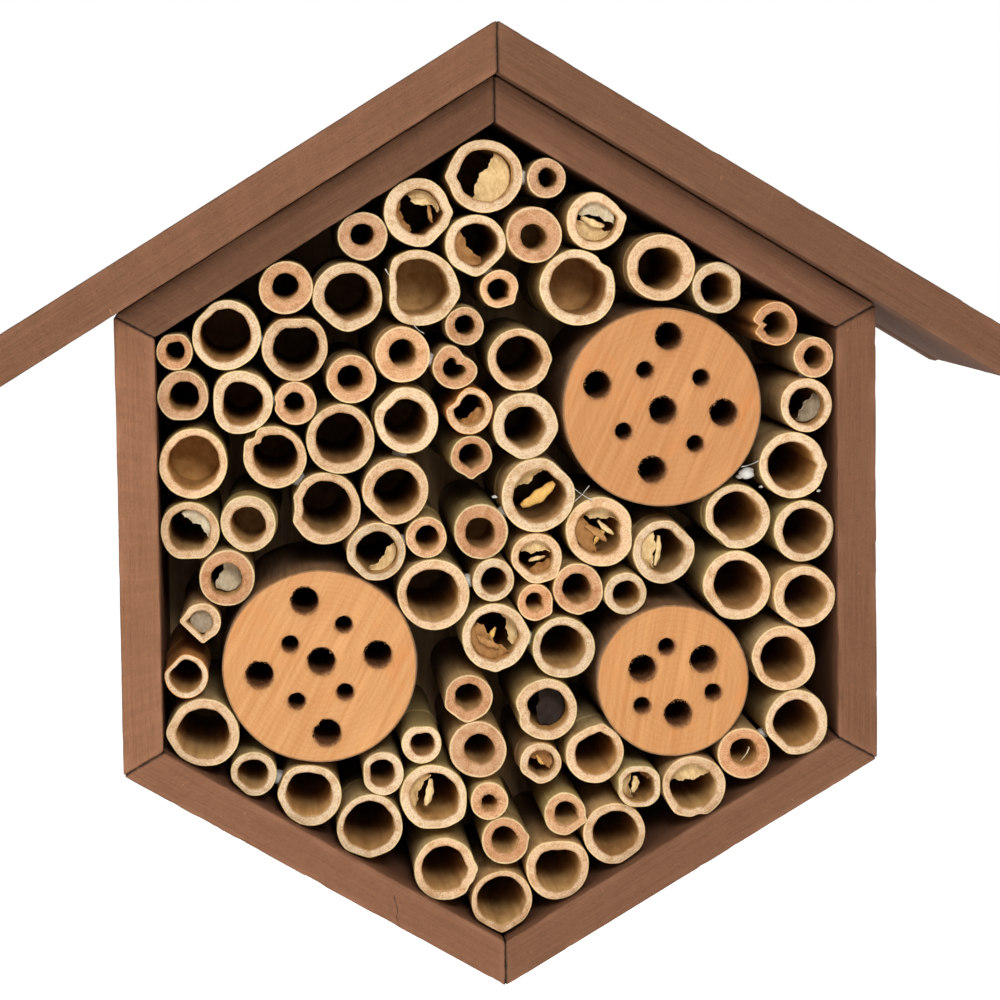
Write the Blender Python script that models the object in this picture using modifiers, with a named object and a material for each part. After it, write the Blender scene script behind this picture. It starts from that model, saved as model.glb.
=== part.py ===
"""Insect hotel for a wall: a six-sided wooden box with a pitched roof, filled with canes and drilled logs.

Lengths are in millimetres and become metres where a mesh is made. X is to the right, Z is up and
the open front faces -Y. The plane Y = 0 is the wall. The origin is on the rear face of the back
panel, level with the middle of the upright sides.
"""

import bmesh
import bpy
from math import cos, pi, radians, sin, tan
from mathutils import Matrix, Vector

MM = 0.001
GAP = 0.3                       # between pieces that rest on each other

# The box
INNER_HALF_WIDTH = 98.5         # from the middle to the inner face of an upright side
INNER_SHOULDER = 60.0           # height of the inner corners above and below the middle
UPPER_PITCH = radians(31.5)
LOWER_PITCH = radians(30.5)
BOARD = 11.5                    # thickness of the six frame boards
BOX_DEPTH = 100.0
EDGE_ROUNDING = 0.6

# The roof
ROOF_BOARD = 12.5
ROOF_REACH = 145.0              # from the ridge line out to the lower end of a roof board
ROOF_DEPTH = 115.0              # it stands 15 mm proud of the box at the front

# The back panel and the keyhole plate let into it
BACK_PANEL = 8.0
PLATE_HEIGHT = 86.0             # middle of the plate above the origin
PLATE_LENGTH = 44.0
PLATE_WIDTH = 16.0
PLATE = 1.5
PLATE_RECESS = 2.0
KEYHOLE = 9.0                   # round part of the keyhole, where a screw head goes in
KEYHOLE_SLOT = 4.6
KEYHOLE_RISE = 8.0              # from the round part up to the end of the slot
POCKET_WIDTH = 12.0
POCKET_DEPTH = 6.2              # room for the screw head behind the plate
PLATE_SCREW_SPACING = 34.0
SCREW_HEAD = 6.0
SCREW_SHANK = 3.0
SCREW_SINK = 1.5
SCREW_LENGTH = 6.0
SCREW_SLOT = 0.8

# The logs: middle x and z, diameter, and the holes around that middle by their drill
LOG_SETBACK = 2.0               # front of a log behind the front of the box
LARGE_DRILL = 8.0
SMALL_DRILL = 5.0
LARGE_DEPTH = 70.0
SMALL_DEPTH = 50.0
LOGS = {
    "log_upper_right": {
        "middle": (47.7, 37.5), "across": 58.0,
        "large": [(0.4, -0.9), (2.2, 20.6), (-18.7, 6.8), (18.1, -1.9), (-2.9, -18.1)],
        "small": [(-4.8, 10.9), (11.5, 8.4), (-11.2, -6.8), (9.7, -10.8)],
    },
    "log_lower_left": {
        "middle": (-52.7, -36.1), "across": 56.6,
        "large": [(0.5, 1.5), (-4.1, 19.2), (16.9, 3.1), (-17.5, -2.1), (1.8, -19.5)],
        "small": [(-8.5, 6.7), (7.1, 12.1), (7.2, -7.6), (-6.9, -10.0)],
    },
    "log_lower_right": {
        "middle": (50.2, -42.5), "across": 44.8,
        "large": [(-8.8, 3.7), (9.2, 6.1), (1.5, -9.8)],
        "small": [(-1.7, 10.0), (11.8, -3.7), (-9.1, -7.2)],
    },
}

# The canes: middle x and z of the mouth, outer diameter, bore
CANES = {
    1: (-3.0, 104.9, 21.4, 15.5), 2: (15.0, 104.3, 11.4, 5.8), 3: (-22.4, 94.6, 19.6, 13.0),
    4: (-37.5, 88.9, 14.2, 6.6), 5: (-6.6, 85.0, 17.4, 12.4), 6: (10.9, 87.9, 16.2, 7.6),
    7: (29.0, 91.6, 16.8, 11.6), 8: (48.0, 78.0, 19.6, 12.6), 9: (64.6, 72.4, 14.8, 9.4),
    10: (-61.0, 74.5, 15.4, 7.5), 11: (-43.4, 71.3, 19.8, 13.8), 12: (-22.7, 72.8, 21.8, 16.4),
    13: (0.0, 74.0, 11.0, 6.4), 14: (23.6, 72.5, 22.0, 16.4), 15: (81.0, 61.3, 12.8, 7.6),
    16: (92.1, 51.3, 11.8, 6.4), 17: (-79.0, 60.7, 20.0, 15.0), 18: (-58.7, 57.8, 19.0, 13.6),
    19: (-9.5, 62.0, 11.2, 6.0), 20: (-27.4, 54.0, 16.0, 8.0), 21: (-12.4, 50.0, 12.6, 6.2),
    22: (6.4, 52.0, 18.2, 13.0), 23: (-93.0, 55.7, 10.6, 5.6), 24: (90.0, 37.4, 15.4, 10.6),
    25: (-42.3, 47.0, 14.2, 7.4), 26: (-90.6, 42.9, 14.8, 8.8), 27: (-75.0, 40.2, 18.2, 12.4),
    28: (-59.0, 41.4, 12.4, 6.2), 29: (-8.0, 37.3, 13.6, 9.2), 30: (-26.5, 35.1, 18.8, 12.8),
    31: (7.9, 31.9, 19.0, 12.0), 32: (-46.3, 30.3, 20.0, 14.4), 33: (-65.1, 26.2, 18.2, 12.8),
    34: (-88.4, 23.4, 20.0, 15.2), 35: (-7.7, 24.0, 12.0, 7.0), 36: (-30.0, 14.6, 19.2, 13.2),
    37: (11.2, 12.3, 21.4, 15.3), 38: (86.0, 19.8, 19.4, 14.0), 39: (69.8, 5.0, 19.0, 14.0),
    40: (-50.2, 9.7, 20.6, 15.0), 41: (-5.2, 1.7, 16.0, 8.8), 42: (-90.0, 3.7, 17.2, 12.2),
    43: (-73.2, 5.8, 16.2, 10.3), 44: (29.8, 0.9, 20.2, 13.7), 45: (89.2, 0.5, 17.8, 13.0),
    46: (-36.0, -3.2, 17.0, 12.2), 47: (-21.2, 0.4, 12.0, 7.0), 48: (11.0, -5.4, 14.8, 9.8),
    49: (47.7, -4.7, 18.4, 12.8), 50: (-79.1, -10.0, 16.2, 9.4), 51: (-19.7, -15.5, 20.8, 15.4),
    52: (-2.1, -11.6, 12.4, 7.6), 53: (23.0, -15.0, 14.8, 8.6), 54: (36.5, -17.3, 12.4, 7.8),
    55: (69.5, -15.3, 20.2, 14.4), 56: (89.0, -18.6, 18.0, 12.6), 57: (9.9, -19.1, 10.6, 5.3),
    58: (-86.6, -22.5, 11.0, 6.8), 59: (-0.7, -28.0, 19.6, 14.0), 60: (18.5, -32.5, 18.2, 13.0),
    61: (82.9, -36.8, 19.0, 13.2), 62: (-91.4, -38.2, 12.8, 9.4), 63: (-9.5, -46.6, 13.8, 7.8),
    64: (13.1, -50.5, 18.2, 12.2), 65: (-86.2, -56.0, 20.2, 15.0), 66: (86.8, -56.1, 18.8, 13.4),
    67: (-23.5, -59.6, 11.6, 7.0), 68: (-7.0, -61.7, 16.7, 8.8), 69: (27.4, -63.8, 17.2, 12.2),
    70: (70.9, -64.5, 15.2, 8.0), 71: (11.3, -66.4, 12.2, 7.8), 72: (-35.0, -68.2, 12.6, 7.8),
    73: (-73.0, -68.3, 13.2, 8.8), 74: (-56.5, -74.4, 18.4, 13.4), 75: (39.6, -74.7, 13.2, 9.6),
    76: (56.3, -74.4, 18.4, 13.2), 77: (-20.2, -75.6, 19.6, 14.2), 78: (-3.9, -77.0, 11.2, 4.8),
    79: (20.4, -82.5, 12.6, 7.0), 80: (-39.2, -84.0, 19.0, 14.6), 81: (0.6, -89.0, 13.8, 7.7),
    82: (34.1, -89.9, 18.2, 13.2), 83: (-17.3, -97.1, 18.4, 13.2), 84: (16.4, -98.4, 18.4, 13.2),
    85: (-0.7, -107.0, 18.0, 14.2),
}
# How far the back end of a cane stands off its mouth, for the few that lean
LEANS = {13: (1.5, -1.5), 20: (-3.0, 0.0), 22: (1.5, 0.0), 35: (-3.0, 0.0), 43: (2.5, 0.0)}
# Canes cut close to a node of the plant, whose wall closes the bore at this depth
NODE_WALLS = {6: 34.0, 12: 38.0, 14: 36.0, 34: 32.0, 41: 30.0, 43: 34.0, 58: 6.0}
GLUED_PAIRS = [
    (1, 2), (3, 4), (5, 13), (6, 14), (8, 9), (10, 11), (12, 19), (16, 24), (17, 18), (20, 21),
    (22, 31), (23, 26), (25, 32), (27, 28), (29, 35), (30, 36), (33, 40), (34, 42), (37, 41),
    (38, 45), (39, 55), (43, 50), (44, 49), (46, 47), (48, 57), (51, 52), (53, 54), (56, 61),
    (59, 60), (62, 65), (63, 68), (64, 71), (66, 70), (67, 77), (72, 80), (73, 74), (75, 76),
    (78, 81), (79, 82), (83, 85),
]
CANE_CLEARANCE = 0.35           # least space around every cane
CANE_SETBACK = 1.5              # of the most forward mouths behind the front of the box
SETBACK_STEP = 0.7
SETBACK_STEPS = 5
CANE_FLOOR = 6.0                # thickness that closes the back end of a cane
GLUE_BITE = 1.2                 # how far a glue bead reaches into each cane wall
GLUE_BEHIND_MOUTH = 12.0

CANE_SIDES = 14
LOG_SIDES = 40
LARGE_DRILL_SIDES = 14
SMALL_DRILL_SIDES = 10

FINISHES = {                    # colour, roughness, metallic
    "stained_wood": ((0.27, 0.13, 0.07), 0.75, 0.0),
    "back_wood": ((0.20, 0.11, 0.06), 0.8, 0.0),
    "log_wood": ((0.66, 0.38, 0.18), 0.7, 0.0),
    "cane": ((0.62, 0.44, 0.22), 0.55, 0.0),
    "steel": ((0.55, 0.55, 0.56), 0.35, 1.0),
}


def clear_scene():
    for thing in list(bpy.data.objects):
        bpy.data.objects.remove(thing, do_unlink=True)


def new_collection(name):
    collection = bpy.data.collections.new(name)
    bpy.context.scene.collection.children.link(collection)
    return collection


def material(piece_name, finish):
    colour, roughness, metallic = FINISHES[finish]
    made = bpy.data.materials.new(f"{piece_name}_{finish}")
    made.use_nodes = True
    shader = made.node_tree.nodes["Principled BSDF"]
    shader.inputs["Base Color"].default_value = (*colour, 1.0)
    shader.inputs["Roughness"].default_value = roughness
    shader.inputs["Metallic"].default_value = metallic
    return made


def add(name, mesh, collection, finish=None):
    """Put a mesh into the scene, with a material of its own if it has a finish."""
    thing = bpy.data.objects.new(name, mesh)
    collection.objects.link(thing)
    if finish:
        mesh.materials.clear()
        mesh.materials.append(material(name, finish))
    return thing


def settled_mesh(thing):
    """The evaluated shape of a helper object as a plain closed mesh. The helper goes."""
    depsgraph = bpy.context.evaluated_depsgraph_get()
    mesh = bpy.data.meshes.new_from_object(thing.evaluated_get(depsgraph))
    mesh.transform(thing.matrix_world)
    bpy.data.objects.remove(thing)
    work = bmesh.new()
    work.from_mesh(mesh)
    bmesh.ops.remove_doubles(work, verts=work.verts, dist=0.00001)
    bmesh.ops.recalc_face_normals(work, faces=work.faces)
    work.to_mesh(mesh)
    work.free()
    return mesh


def slab(outline, front, back):
    """A flat piece with this outline in X and Z, from Y = front to Y = back."""
    curve = bpy.data.curves.new("outline", "CURVE")
    curve.dimensions = "2D"
    curve.fill_mode = "BOTH"
    curve.extrude = (back - front) / 2 * MM
    spline = curve.splines.new("POLY")
    spline.points.add(len(outline) - 1)
    for point, (x, z) in zip(spline.points, outline):
        point.co = (x * MM, z * MM, 0, 1)
    spline.use_cyclic_u = True
    helper = bpy.data.objects.new("outline", curve)
    bpy.context.scene.collection.objects.link(helper)
    helper.matrix_world = Matrix.Translation((0, (front + back) / 2 * MM, 0)) @ Matrix.Rotation(pi / 2, 4, "X")
    return settled_mesh(helper)


def turned(profile, sides):
    """A closed solid of revolution around Y. The profile runs along its outside as (radius, y)."""
    work = bmesh.new()
    points = [work.verts.new((radius * MM, 0, -y * MM)) for radius, y in profile]
    for first, second in zip(points, points[1:]):
        work.edges.new((first, second))
    mesh = bpy.data.meshes.new("profile")
    work.to_mesh(mesh)
    work.free()
    helper = bpy.data.objects.new("profile", mesh)
    bpy.context.scene.collection.objects.link(helper)
    screw = helper.modifiers.new("turn", "SCREW")
    screw.steps = sides
    screw.render_steps = sides
    screw.use_merge_vertices = True
    screw.merge_threshold = 0.00005
    helper.rotation_euler = (pi / 2, 0, 0)
    bpy.context.view_layer.update()
    return settled_mesh(helper)


def place(mesh, x, z, turn=0.0):
    mesh.transform(Matrix.Translation((x * MM, 0, z * MM)) @ Matrix.Rotation(turn, 4, "Y"))
    return mesh


def drill(sides, radius, front, back):
    """A cutter for a round blind hole along Y."""
    return turned([(0, front), (radius, front), (radius, back), (0, back)], sides)


def stadium(length, width, bottom, points=7):
    """Outline of an upright slot with round ends, standing on z = bottom."""
    radius = width / 2
    arc = [pi * step / (points - 1) for step in range(points)]
    upper = [(radius * cos(a), bottom + length - radius + radius * sin(a)) for a in arc]
    lower = [(-radius * cos(a), bottom + radius - radius * sin(a)) for a in arc]
    return upper + lower


def combine(target, mesh, operation, cutters):
    """Cut a mesh from the target, or join it to the target."""
    tool = add(f"{target.name}_{operation.lower()}_{len(target.modifiers)}", mesh, cutters)
    tool.hide_render = True
    tool.display_type = "WIRE"
    step = target.modifiers.new(operation.lower(), "BOOLEAN")
    step.operation = operation
    step.solver = "EXACT"
    step.object = tool


def round_edges(thing):
    bevel = thing.modifiers.new("rounded edges", "BEVEL")
    bevel.width = EDGE_ROUNDING * MM
    bevel.segments = 1
    bevel.limit_method = "ANGLE"
    bevel.angle_limit = radians(25)


def shade_round(thing, angle=35):
    thing.data.shade_smooth()
    thing.data.set_sharp_from_angle(angle=radians(angle))


def hexagon(offset):
    """Corners of the box, this far outside the inner faces of its boards, clockwise from the top."""
    half = INNER_HALF_WIDTH + offset
    top = INNER_SHOULDER + INNER_HALF_WIDTH * tan(UPPER_PITCH) + offset / cos(UPPER_PITCH)
    bottom = -INNER_SHOULDER - INNER_HALF_WIDTH * tan(LOWER_PITCH) - offset / cos(LOWER_PITCH)
    shoulder = top - half * tan(UPPER_PITCH)
    hip = bottom + half * tan(LOWER_PITCH)
    return [(0, top), (half, shoulder), (half, hip), (0, bottom), (-half, hip), (-half, shoulder)]


def shortened(start, end, other_start, other_end):
    """A board between two mitres, with the gap taken off both of its ends."""
    along = (Vector(other_end) - Vector(other_start)).normalized() * (GAP * 0.6)
    return [Vector(start) + along, Vector(end) - along, Vector(other_end) - along, Vector(other_start) + along]


def frame_boards(parts):
    names = ["frame_upper_right", "frame_right", "frame_lower_right",
             "frame_lower_left", "frame_left", "frame_upper_left"]
    outer = hexagon(BOARD)
    inner = hexagon(0)
    for index, name in enumerate(names):
        after = (index + 1) % len(names)
        outline = shortened(outer[index], outer[after], inner[index], inner[after])
        board = add(name, slab(outline, -BOX_DEPTH, 0), parts, "stained_wood")
        round_edges(board)


def roof_boards(parts):
    ridge_under = hexagon(BOARD + GAP)[0][1]
    eave_under = ridge_under - ROOF_REACH * tan(UPPER_PITCH)
    seam = GAP / 2
    for name, side in (("roof_board_left", -1), ("roof_board_right", 1)):
        outline = [
            (side * seam, ridge_under - seam * tan(UPPER_PITCH)),
            (side * seam, ridge_under + ROOF_BOARD / cos(UPPER_PITCH) - seam * tan(UPPER_PITCH)),
            (side * (ROOF_REACH + ROOF_BOARD * sin(UPPER_PITCH)), eave_under + ROOF_BOARD * cos(UPPER_PITCH)),
            (side * ROOF_REACH, eave_under),
        ]
        board = add(name, slab(outline, -ROOF_DEPTH, 0), parts, "stained_wood")
        round_edges(board)


def screw_heights():
    return {"plate_screw_upper": PLATE_HEIGHT + PLATE_SCREW_SPACING / 2,
            "plate_screw_lower": PLATE_HEIGHT - PLATE_SCREW_SPACING / 2}


def keyhole_outline():
    """The entry hole with the slot above it."""
    entry = KEYHOLE / 2
    slot = KEYHOLE_SLOT / 2
    middle = PLATE_HEIGHT - KEYHOLE_RISE / 2
    neck = pi / 2 - 0.54
    around = [(entry * cos(a), middle + entry * sin(a))
              for a in (neck - step * (pi + 2 * neck) / 12 for step in range(13))]
    top = [(slot * cos(a), middle + KEYHOLE_RISE + slot * sin(a)) for a in (pi - step * pi / 6 for step in range(7))]
    return around + top


def back_panel(parts, cutters):
    panel = add("back_panel", slab(hexagon(-GAP), -BACK_PANEL, 0), parts, "back_wood")
    recess_length = PLATE_LENGTH + 2 * GAP
    recess = stadium(recess_length, PLATE_WIDTH + 2 * GAP, PLATE_HEIGHT - recess_length / 2)
    combine(panel, slab(recess, -PLATE_RECESS, 1), "DIFFERENCE", cutters)
    pocket_length = POCKET_WIDTH + KEYHOLE_RISE
    pocket = stadium(pocket_length, POCKET_WIDTH, PLATE_HEIGHT - pocket_length / 2)
    combine(panel, slab(pocket, -POCKET_DEPTH, 1.5), "DIFFERENCE", cutters)
    for height in screw_heights().values():
        pilot = drill(12, SCREW_SHANK / 2 + GAP, -SCREW_LENGTH - 2 * GAP, 2)
        combine(panel, place(pilot, 0, height), "DIFFERENCE", cutters)


def keyhole_plate(parts, cutters):
    rear = GAP - PLATE_RECESS + PLATE
    outline = stadium(PLATE_LENGTH, PLATE_WIDTH, PLATE_HEIGHT - PLATE_LENGTH / 2)
    plate = add("keyhole_plate", slab(outline, rear - PLATE, rear), parts, "steel")
    combine(plate, slab(keyhole_outline(), -4, 2), "DIFFERENCE", cutters)
    narrow = SCREW_SHANK / 2 + 0.5
    wide = SCREW_HEAD / 2 + 0.5
    profile = [(0, rear - PLATE - 1), (narrow, rear - PLATE - 1), (narrow, rear - PLATE),
               (wide, rear), (wide, rear + 1), (0, rear + 1)]
    for height in screw_heights().values():
        combine(plate, place(turned(profile, 16), 0, height), "DIFFERENCE", cutters)
    return rear


def plate_screws(parts, cutters, rear):
    """Countersunk slotted screws, flush with the plate."""
    shank = SCREW_SHANK / 2
    head = SCREW_HEAD / 2
    profile = [(0, rear - SCREW_LENGTH), (shank, rear - SCREW_LENGTH + 1.6), (shank, rear - SCREW_SINK),
               (head, rear), (0, rear)]
    slot = [(-head, -SCREW_SLOT / 2), (head, -SCREW_SLOT / 2), (head, SCREW_SLOT / 2), (-head, SCREW_SLOT / 2)]
    for name, height in screw_heights().items():
        screw = add(name, place(turned(profile, 16), 0, height), parts, "steel")
        combine(screw, place(slab(slot, rear - SCREW_SLOT, rear + 1), 0, height, radians(33)), "DIFFERENCE", cutters)
        shade_round(screw)


def logs(parts, cutters):
    front = LOG_SETBACK - BOX_DEPTH
    back = -BACK_PANEL - GAP
    for name, log in LOGS.items():
        radius = log["across"] / 2
        shape = turned([(0, front), (radius, front), (radius, back), (0, back)], LOG_SIDES)
        body = add(name, place(shape, *log["middle"]), parts, "log_wood")
        holes = [(spot, LARGE_DRILL, LARGE_DEPTH, LARGE_DRILL_SIDES) for spot in log["large"]]
        holes += [(spot, SMALL_DRILL, SMALL_DEPTH, SMALL_DRILL_SIDES) for spot in log["small"]]
        for (x, z), width, depth, sides in holes:
            cutter = drill(sides, width / 2, front - 2, front + depth)
            place(cutter, log["middle"][0] + x, log["middle"][1] + z)
            combine(body, cutter, "DIFFERENCE", cutters)
        shade_round(body)


def board_faces():
    """Inner faces of the six boards, each as an outward direction and its distance from the origin."""
    faces = []
    corners = hexagon(0)
    for index, (x, z) in enumerate(corners):
        next_x, next_z = corners[(index + 1) % len(corners)]
        along = Vector((next_x - x, next_z - z)).normalized()
        outward = Vector((-along.y, along.x))
        faces.append((outward, outward.dot(Vector((x, z)))))
    return faces


def pushed_apart(places, rounds=400, close_enough=0.02):
    """Nudge the canes until each has its clearance to the others, the logs and the boards."""
    places = {number: Vector(place) for number, place in places.items()}
    radii = {number: CANES[number][2] / 2 for number in places}
    walls = board_faces()
    numbers = sorted(places)
    for _ in range(rounds):
        worst = 0.0
        for index, number in enumerate(numbers):
            reach = radii[number] + CANE_CLEARANCE
            for other in numbers[index + 1:]:
                offset = places[other] - places[number]
                short = reach + radii[other] - offset.length
                if short > 0:
                    shove = offset.normalized() * (short / 2)
                    places[number] -= shove
                    places[other] += shove
                    worst = max(worst, short)
            for log in LOGS.values():
                offset = places[number] - Vector(log["middle"])
                short = reach + log["across"] / 2 - offset.length
                if short > 0:
                    places[number] += offset.normalized() * short
                    worst = max(worst, short)
            for outward, distance in walls:
                short = outward.dot(places[number]) + reach - distance
                if short > 0:
                    places[number] -= outward * short
                    worst = max(worst, short)
        if worst < close_enough:
            break
    return places


def cane_mesh(number, mouth, back_end, front):
    """A tube from its mouth to the back panel, closed at the back, or by a node wall further forward."""
    outer = CANES[number][2] / 2
    bore = CANES[number][3] / 2
    back = -BACK_PANEL - GAP
    floor = front + NODE_WALLS.get(number, back - CANE_FLOOR - front)
    profile = [(0, floor), (bore, floor), (bore, front), (outer, front), (outer, back), (0, back)]
    mesh = turned(profile, CANE_SIDES)
    slope = (back_end - mouth) / (back - front)
    lean = Matrix.Identity(4)
    lean[0][1] = slope.x
    lean[2][1] = slope.y
    start = Matrix.Translation((mouth.x * MM, front * MM, mouth.y * MM))
    mesh.transform(start @ lean @ Matrix.Translation((0, -front * MM, 0)))
    return mesh


def glue_bead(first, second, radii, y):
    """A small bead in the gap between two canes, at home in both walls."""
    offset = second - first
    gap = offset.length - sum(radii)
    middle = first + offset.normalized() * (radii[0] + gap / 2)
    work = bmesh.new()
    bmesh.ops.create_icosphere(work, subdivisions=1, radius=(gap / 2 + GLUE_BITE) * MM)
    mesh = bpy.data.meshes.new("glue")
    work.to_mesh(mesh)
    work.free()
    mesh.transform(Matrix.Translation((middle.x * MM, y * MM, middle.y * MM)))
    return mesh


def canes(parts, cutters):
    mouths = pushed_apart({number: row[:2] for number, row in CANES.items()})
    backs = pushed_apart({number: mouth + Vector(LEANS.get(number, (0, 0))) for number, mouth in mouths.items()})
    paired = {number for pair in GLUED_PAIRS for number in pair}
    groups = GLUED_PAIRS + [(number,) for number in CANES if number not in paired]
    for group in sorted(groups):
        setback = CANE_SETBACK + SETBACK_STEP * (group[0] % SETBACK_STEPS)
        fronts = [setback - BOX_DEPTH + SETBACK_STEP * place for place in range(len(group))]
        meshes = [cane_mesh(number, mouths[number], backs[number], front)
                  for number, front in zip(group, fronts)]
        title = "cane_pair_{:02d}_{:02d}" if len(group) == 2 else "cane_{:02d}"
        bundle = add(title.format(*group), meshes[0], parts, "cane")
        if len(group) == 2:
            depth = fronts[0] + GLUE_BEHIND_MOUTH
            share = (depth - fronts[0]) / (-BACK_PANEL - GAP - fronts[0])
            spots = [mouths[number].lerp(backs[number], share) for number in group]
            radii = [CANES[number][2] / 2 for number in group]
            combine(bundle, glue_bead(*spots, radii, depth), "UNION", cutters)
            combine(bundle, meshes[1], "UNION", cutters)
        shade_round(bundle)


def build():
    clear_scene()
    parts = new_collection("insect_hotel")
    cutters = new_collection("cutters")
    frame_boards(parts)
    roof_boards(parts)
    back_panel(parts, cutters)
    plate_rear = keyhole_plate(parts, cutters)
    plate_screws(parts, cutters, plate_rear)
    logs(parts, cutters)
    canes(parts, cutters)


build()
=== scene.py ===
import bmesh
import bpy
import numpy as np
from math import atan2, cos, exp, hypot, pi, radians, sin, sqrt
from mathutils import Matrix, Vector, noise
from mathutils.geometry import delaunay_2d_cdt
from random import Random


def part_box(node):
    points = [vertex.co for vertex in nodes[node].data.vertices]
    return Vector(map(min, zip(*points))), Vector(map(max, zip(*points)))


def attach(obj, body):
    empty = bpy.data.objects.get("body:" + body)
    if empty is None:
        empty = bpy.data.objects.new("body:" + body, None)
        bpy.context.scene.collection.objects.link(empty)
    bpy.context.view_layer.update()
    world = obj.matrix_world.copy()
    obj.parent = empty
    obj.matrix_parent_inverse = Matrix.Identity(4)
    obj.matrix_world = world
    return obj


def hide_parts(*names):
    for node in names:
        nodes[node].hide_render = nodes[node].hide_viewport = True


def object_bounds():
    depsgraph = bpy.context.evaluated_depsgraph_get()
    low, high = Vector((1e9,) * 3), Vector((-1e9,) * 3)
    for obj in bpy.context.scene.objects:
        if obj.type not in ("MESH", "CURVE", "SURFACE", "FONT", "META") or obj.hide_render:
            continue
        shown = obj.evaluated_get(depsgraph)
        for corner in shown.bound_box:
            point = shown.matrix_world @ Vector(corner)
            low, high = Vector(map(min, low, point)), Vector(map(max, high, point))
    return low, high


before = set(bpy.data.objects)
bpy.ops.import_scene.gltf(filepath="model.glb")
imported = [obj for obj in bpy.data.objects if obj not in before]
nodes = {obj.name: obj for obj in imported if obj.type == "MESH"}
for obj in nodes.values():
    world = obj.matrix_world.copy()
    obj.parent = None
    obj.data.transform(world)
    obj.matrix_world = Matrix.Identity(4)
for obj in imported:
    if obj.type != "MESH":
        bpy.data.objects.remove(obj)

mm = 0.001
cadLow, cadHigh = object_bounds()


# short helpers

def linear(red, green, blue):
    # screen colour 0-255 to the linear values that shaders take
    return tuple((c / 255 / 12.92) if c <= 10 else ((c / 255 + 0.055) / 1.055) ** 2.4
                 for c in (red, green, blue))


def scaled(tone, factor):
    return tuple(min(c * factor, 1) for c in tone)


def smooth(low, high, value):
    t = np.clip((value - low) / (high - low), 0, 1)
    return t * t * (3 - 2 * t)


def addObject(name, data):
    piece = bpy.data.objects.new(name, data)
    bpy.context.scene.collection.objects.link(piece)
    return piece


def makeObject(name, verts, faces, materials, faceMaterial=None):
    mesh = bpy.data.meshes.new(name)
    mesh.from_pydata([tuple(v) for v in verts], [], faces)
    for one in materials:
        mesh.materials.append(one)
    if faceMaterial is not None:
        mesh.polygons.foreach_set("material_index", faceMaterial)
    mesh.update()
    piece = addObject(name, mesh)
    mesh.shade_smooth()
    return piece


def storeVector(mesh, name, values):
    layer = mesh.attributes.new(name, "FLOAT_VECTOR", "POINT")
    layer.data.foreach_set("vector", np.asarray(values, np.float32).ravel())


def storeColour(mesh, name, values):
    layer = mesh.attributes.new(name, "FLOAT_COLOR", "POINT")
    layer.data.foreach_set("color", np.asarray(values, np.float32).ravel())


def storeNumber(mesh, name, values):
    layer = mesh.attributes.new(name, "FLOAT", "POINT")
    layer.data.foreach_set("value", np.asarray(values, np.float32))


def settle(piece, slot, *cadNodes):
    # the piece stands for these CAD nodes and goes where the box goes
    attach(piece, "root")
    if cadNodes:
        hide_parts(*cadNodes)
    return piece


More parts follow.
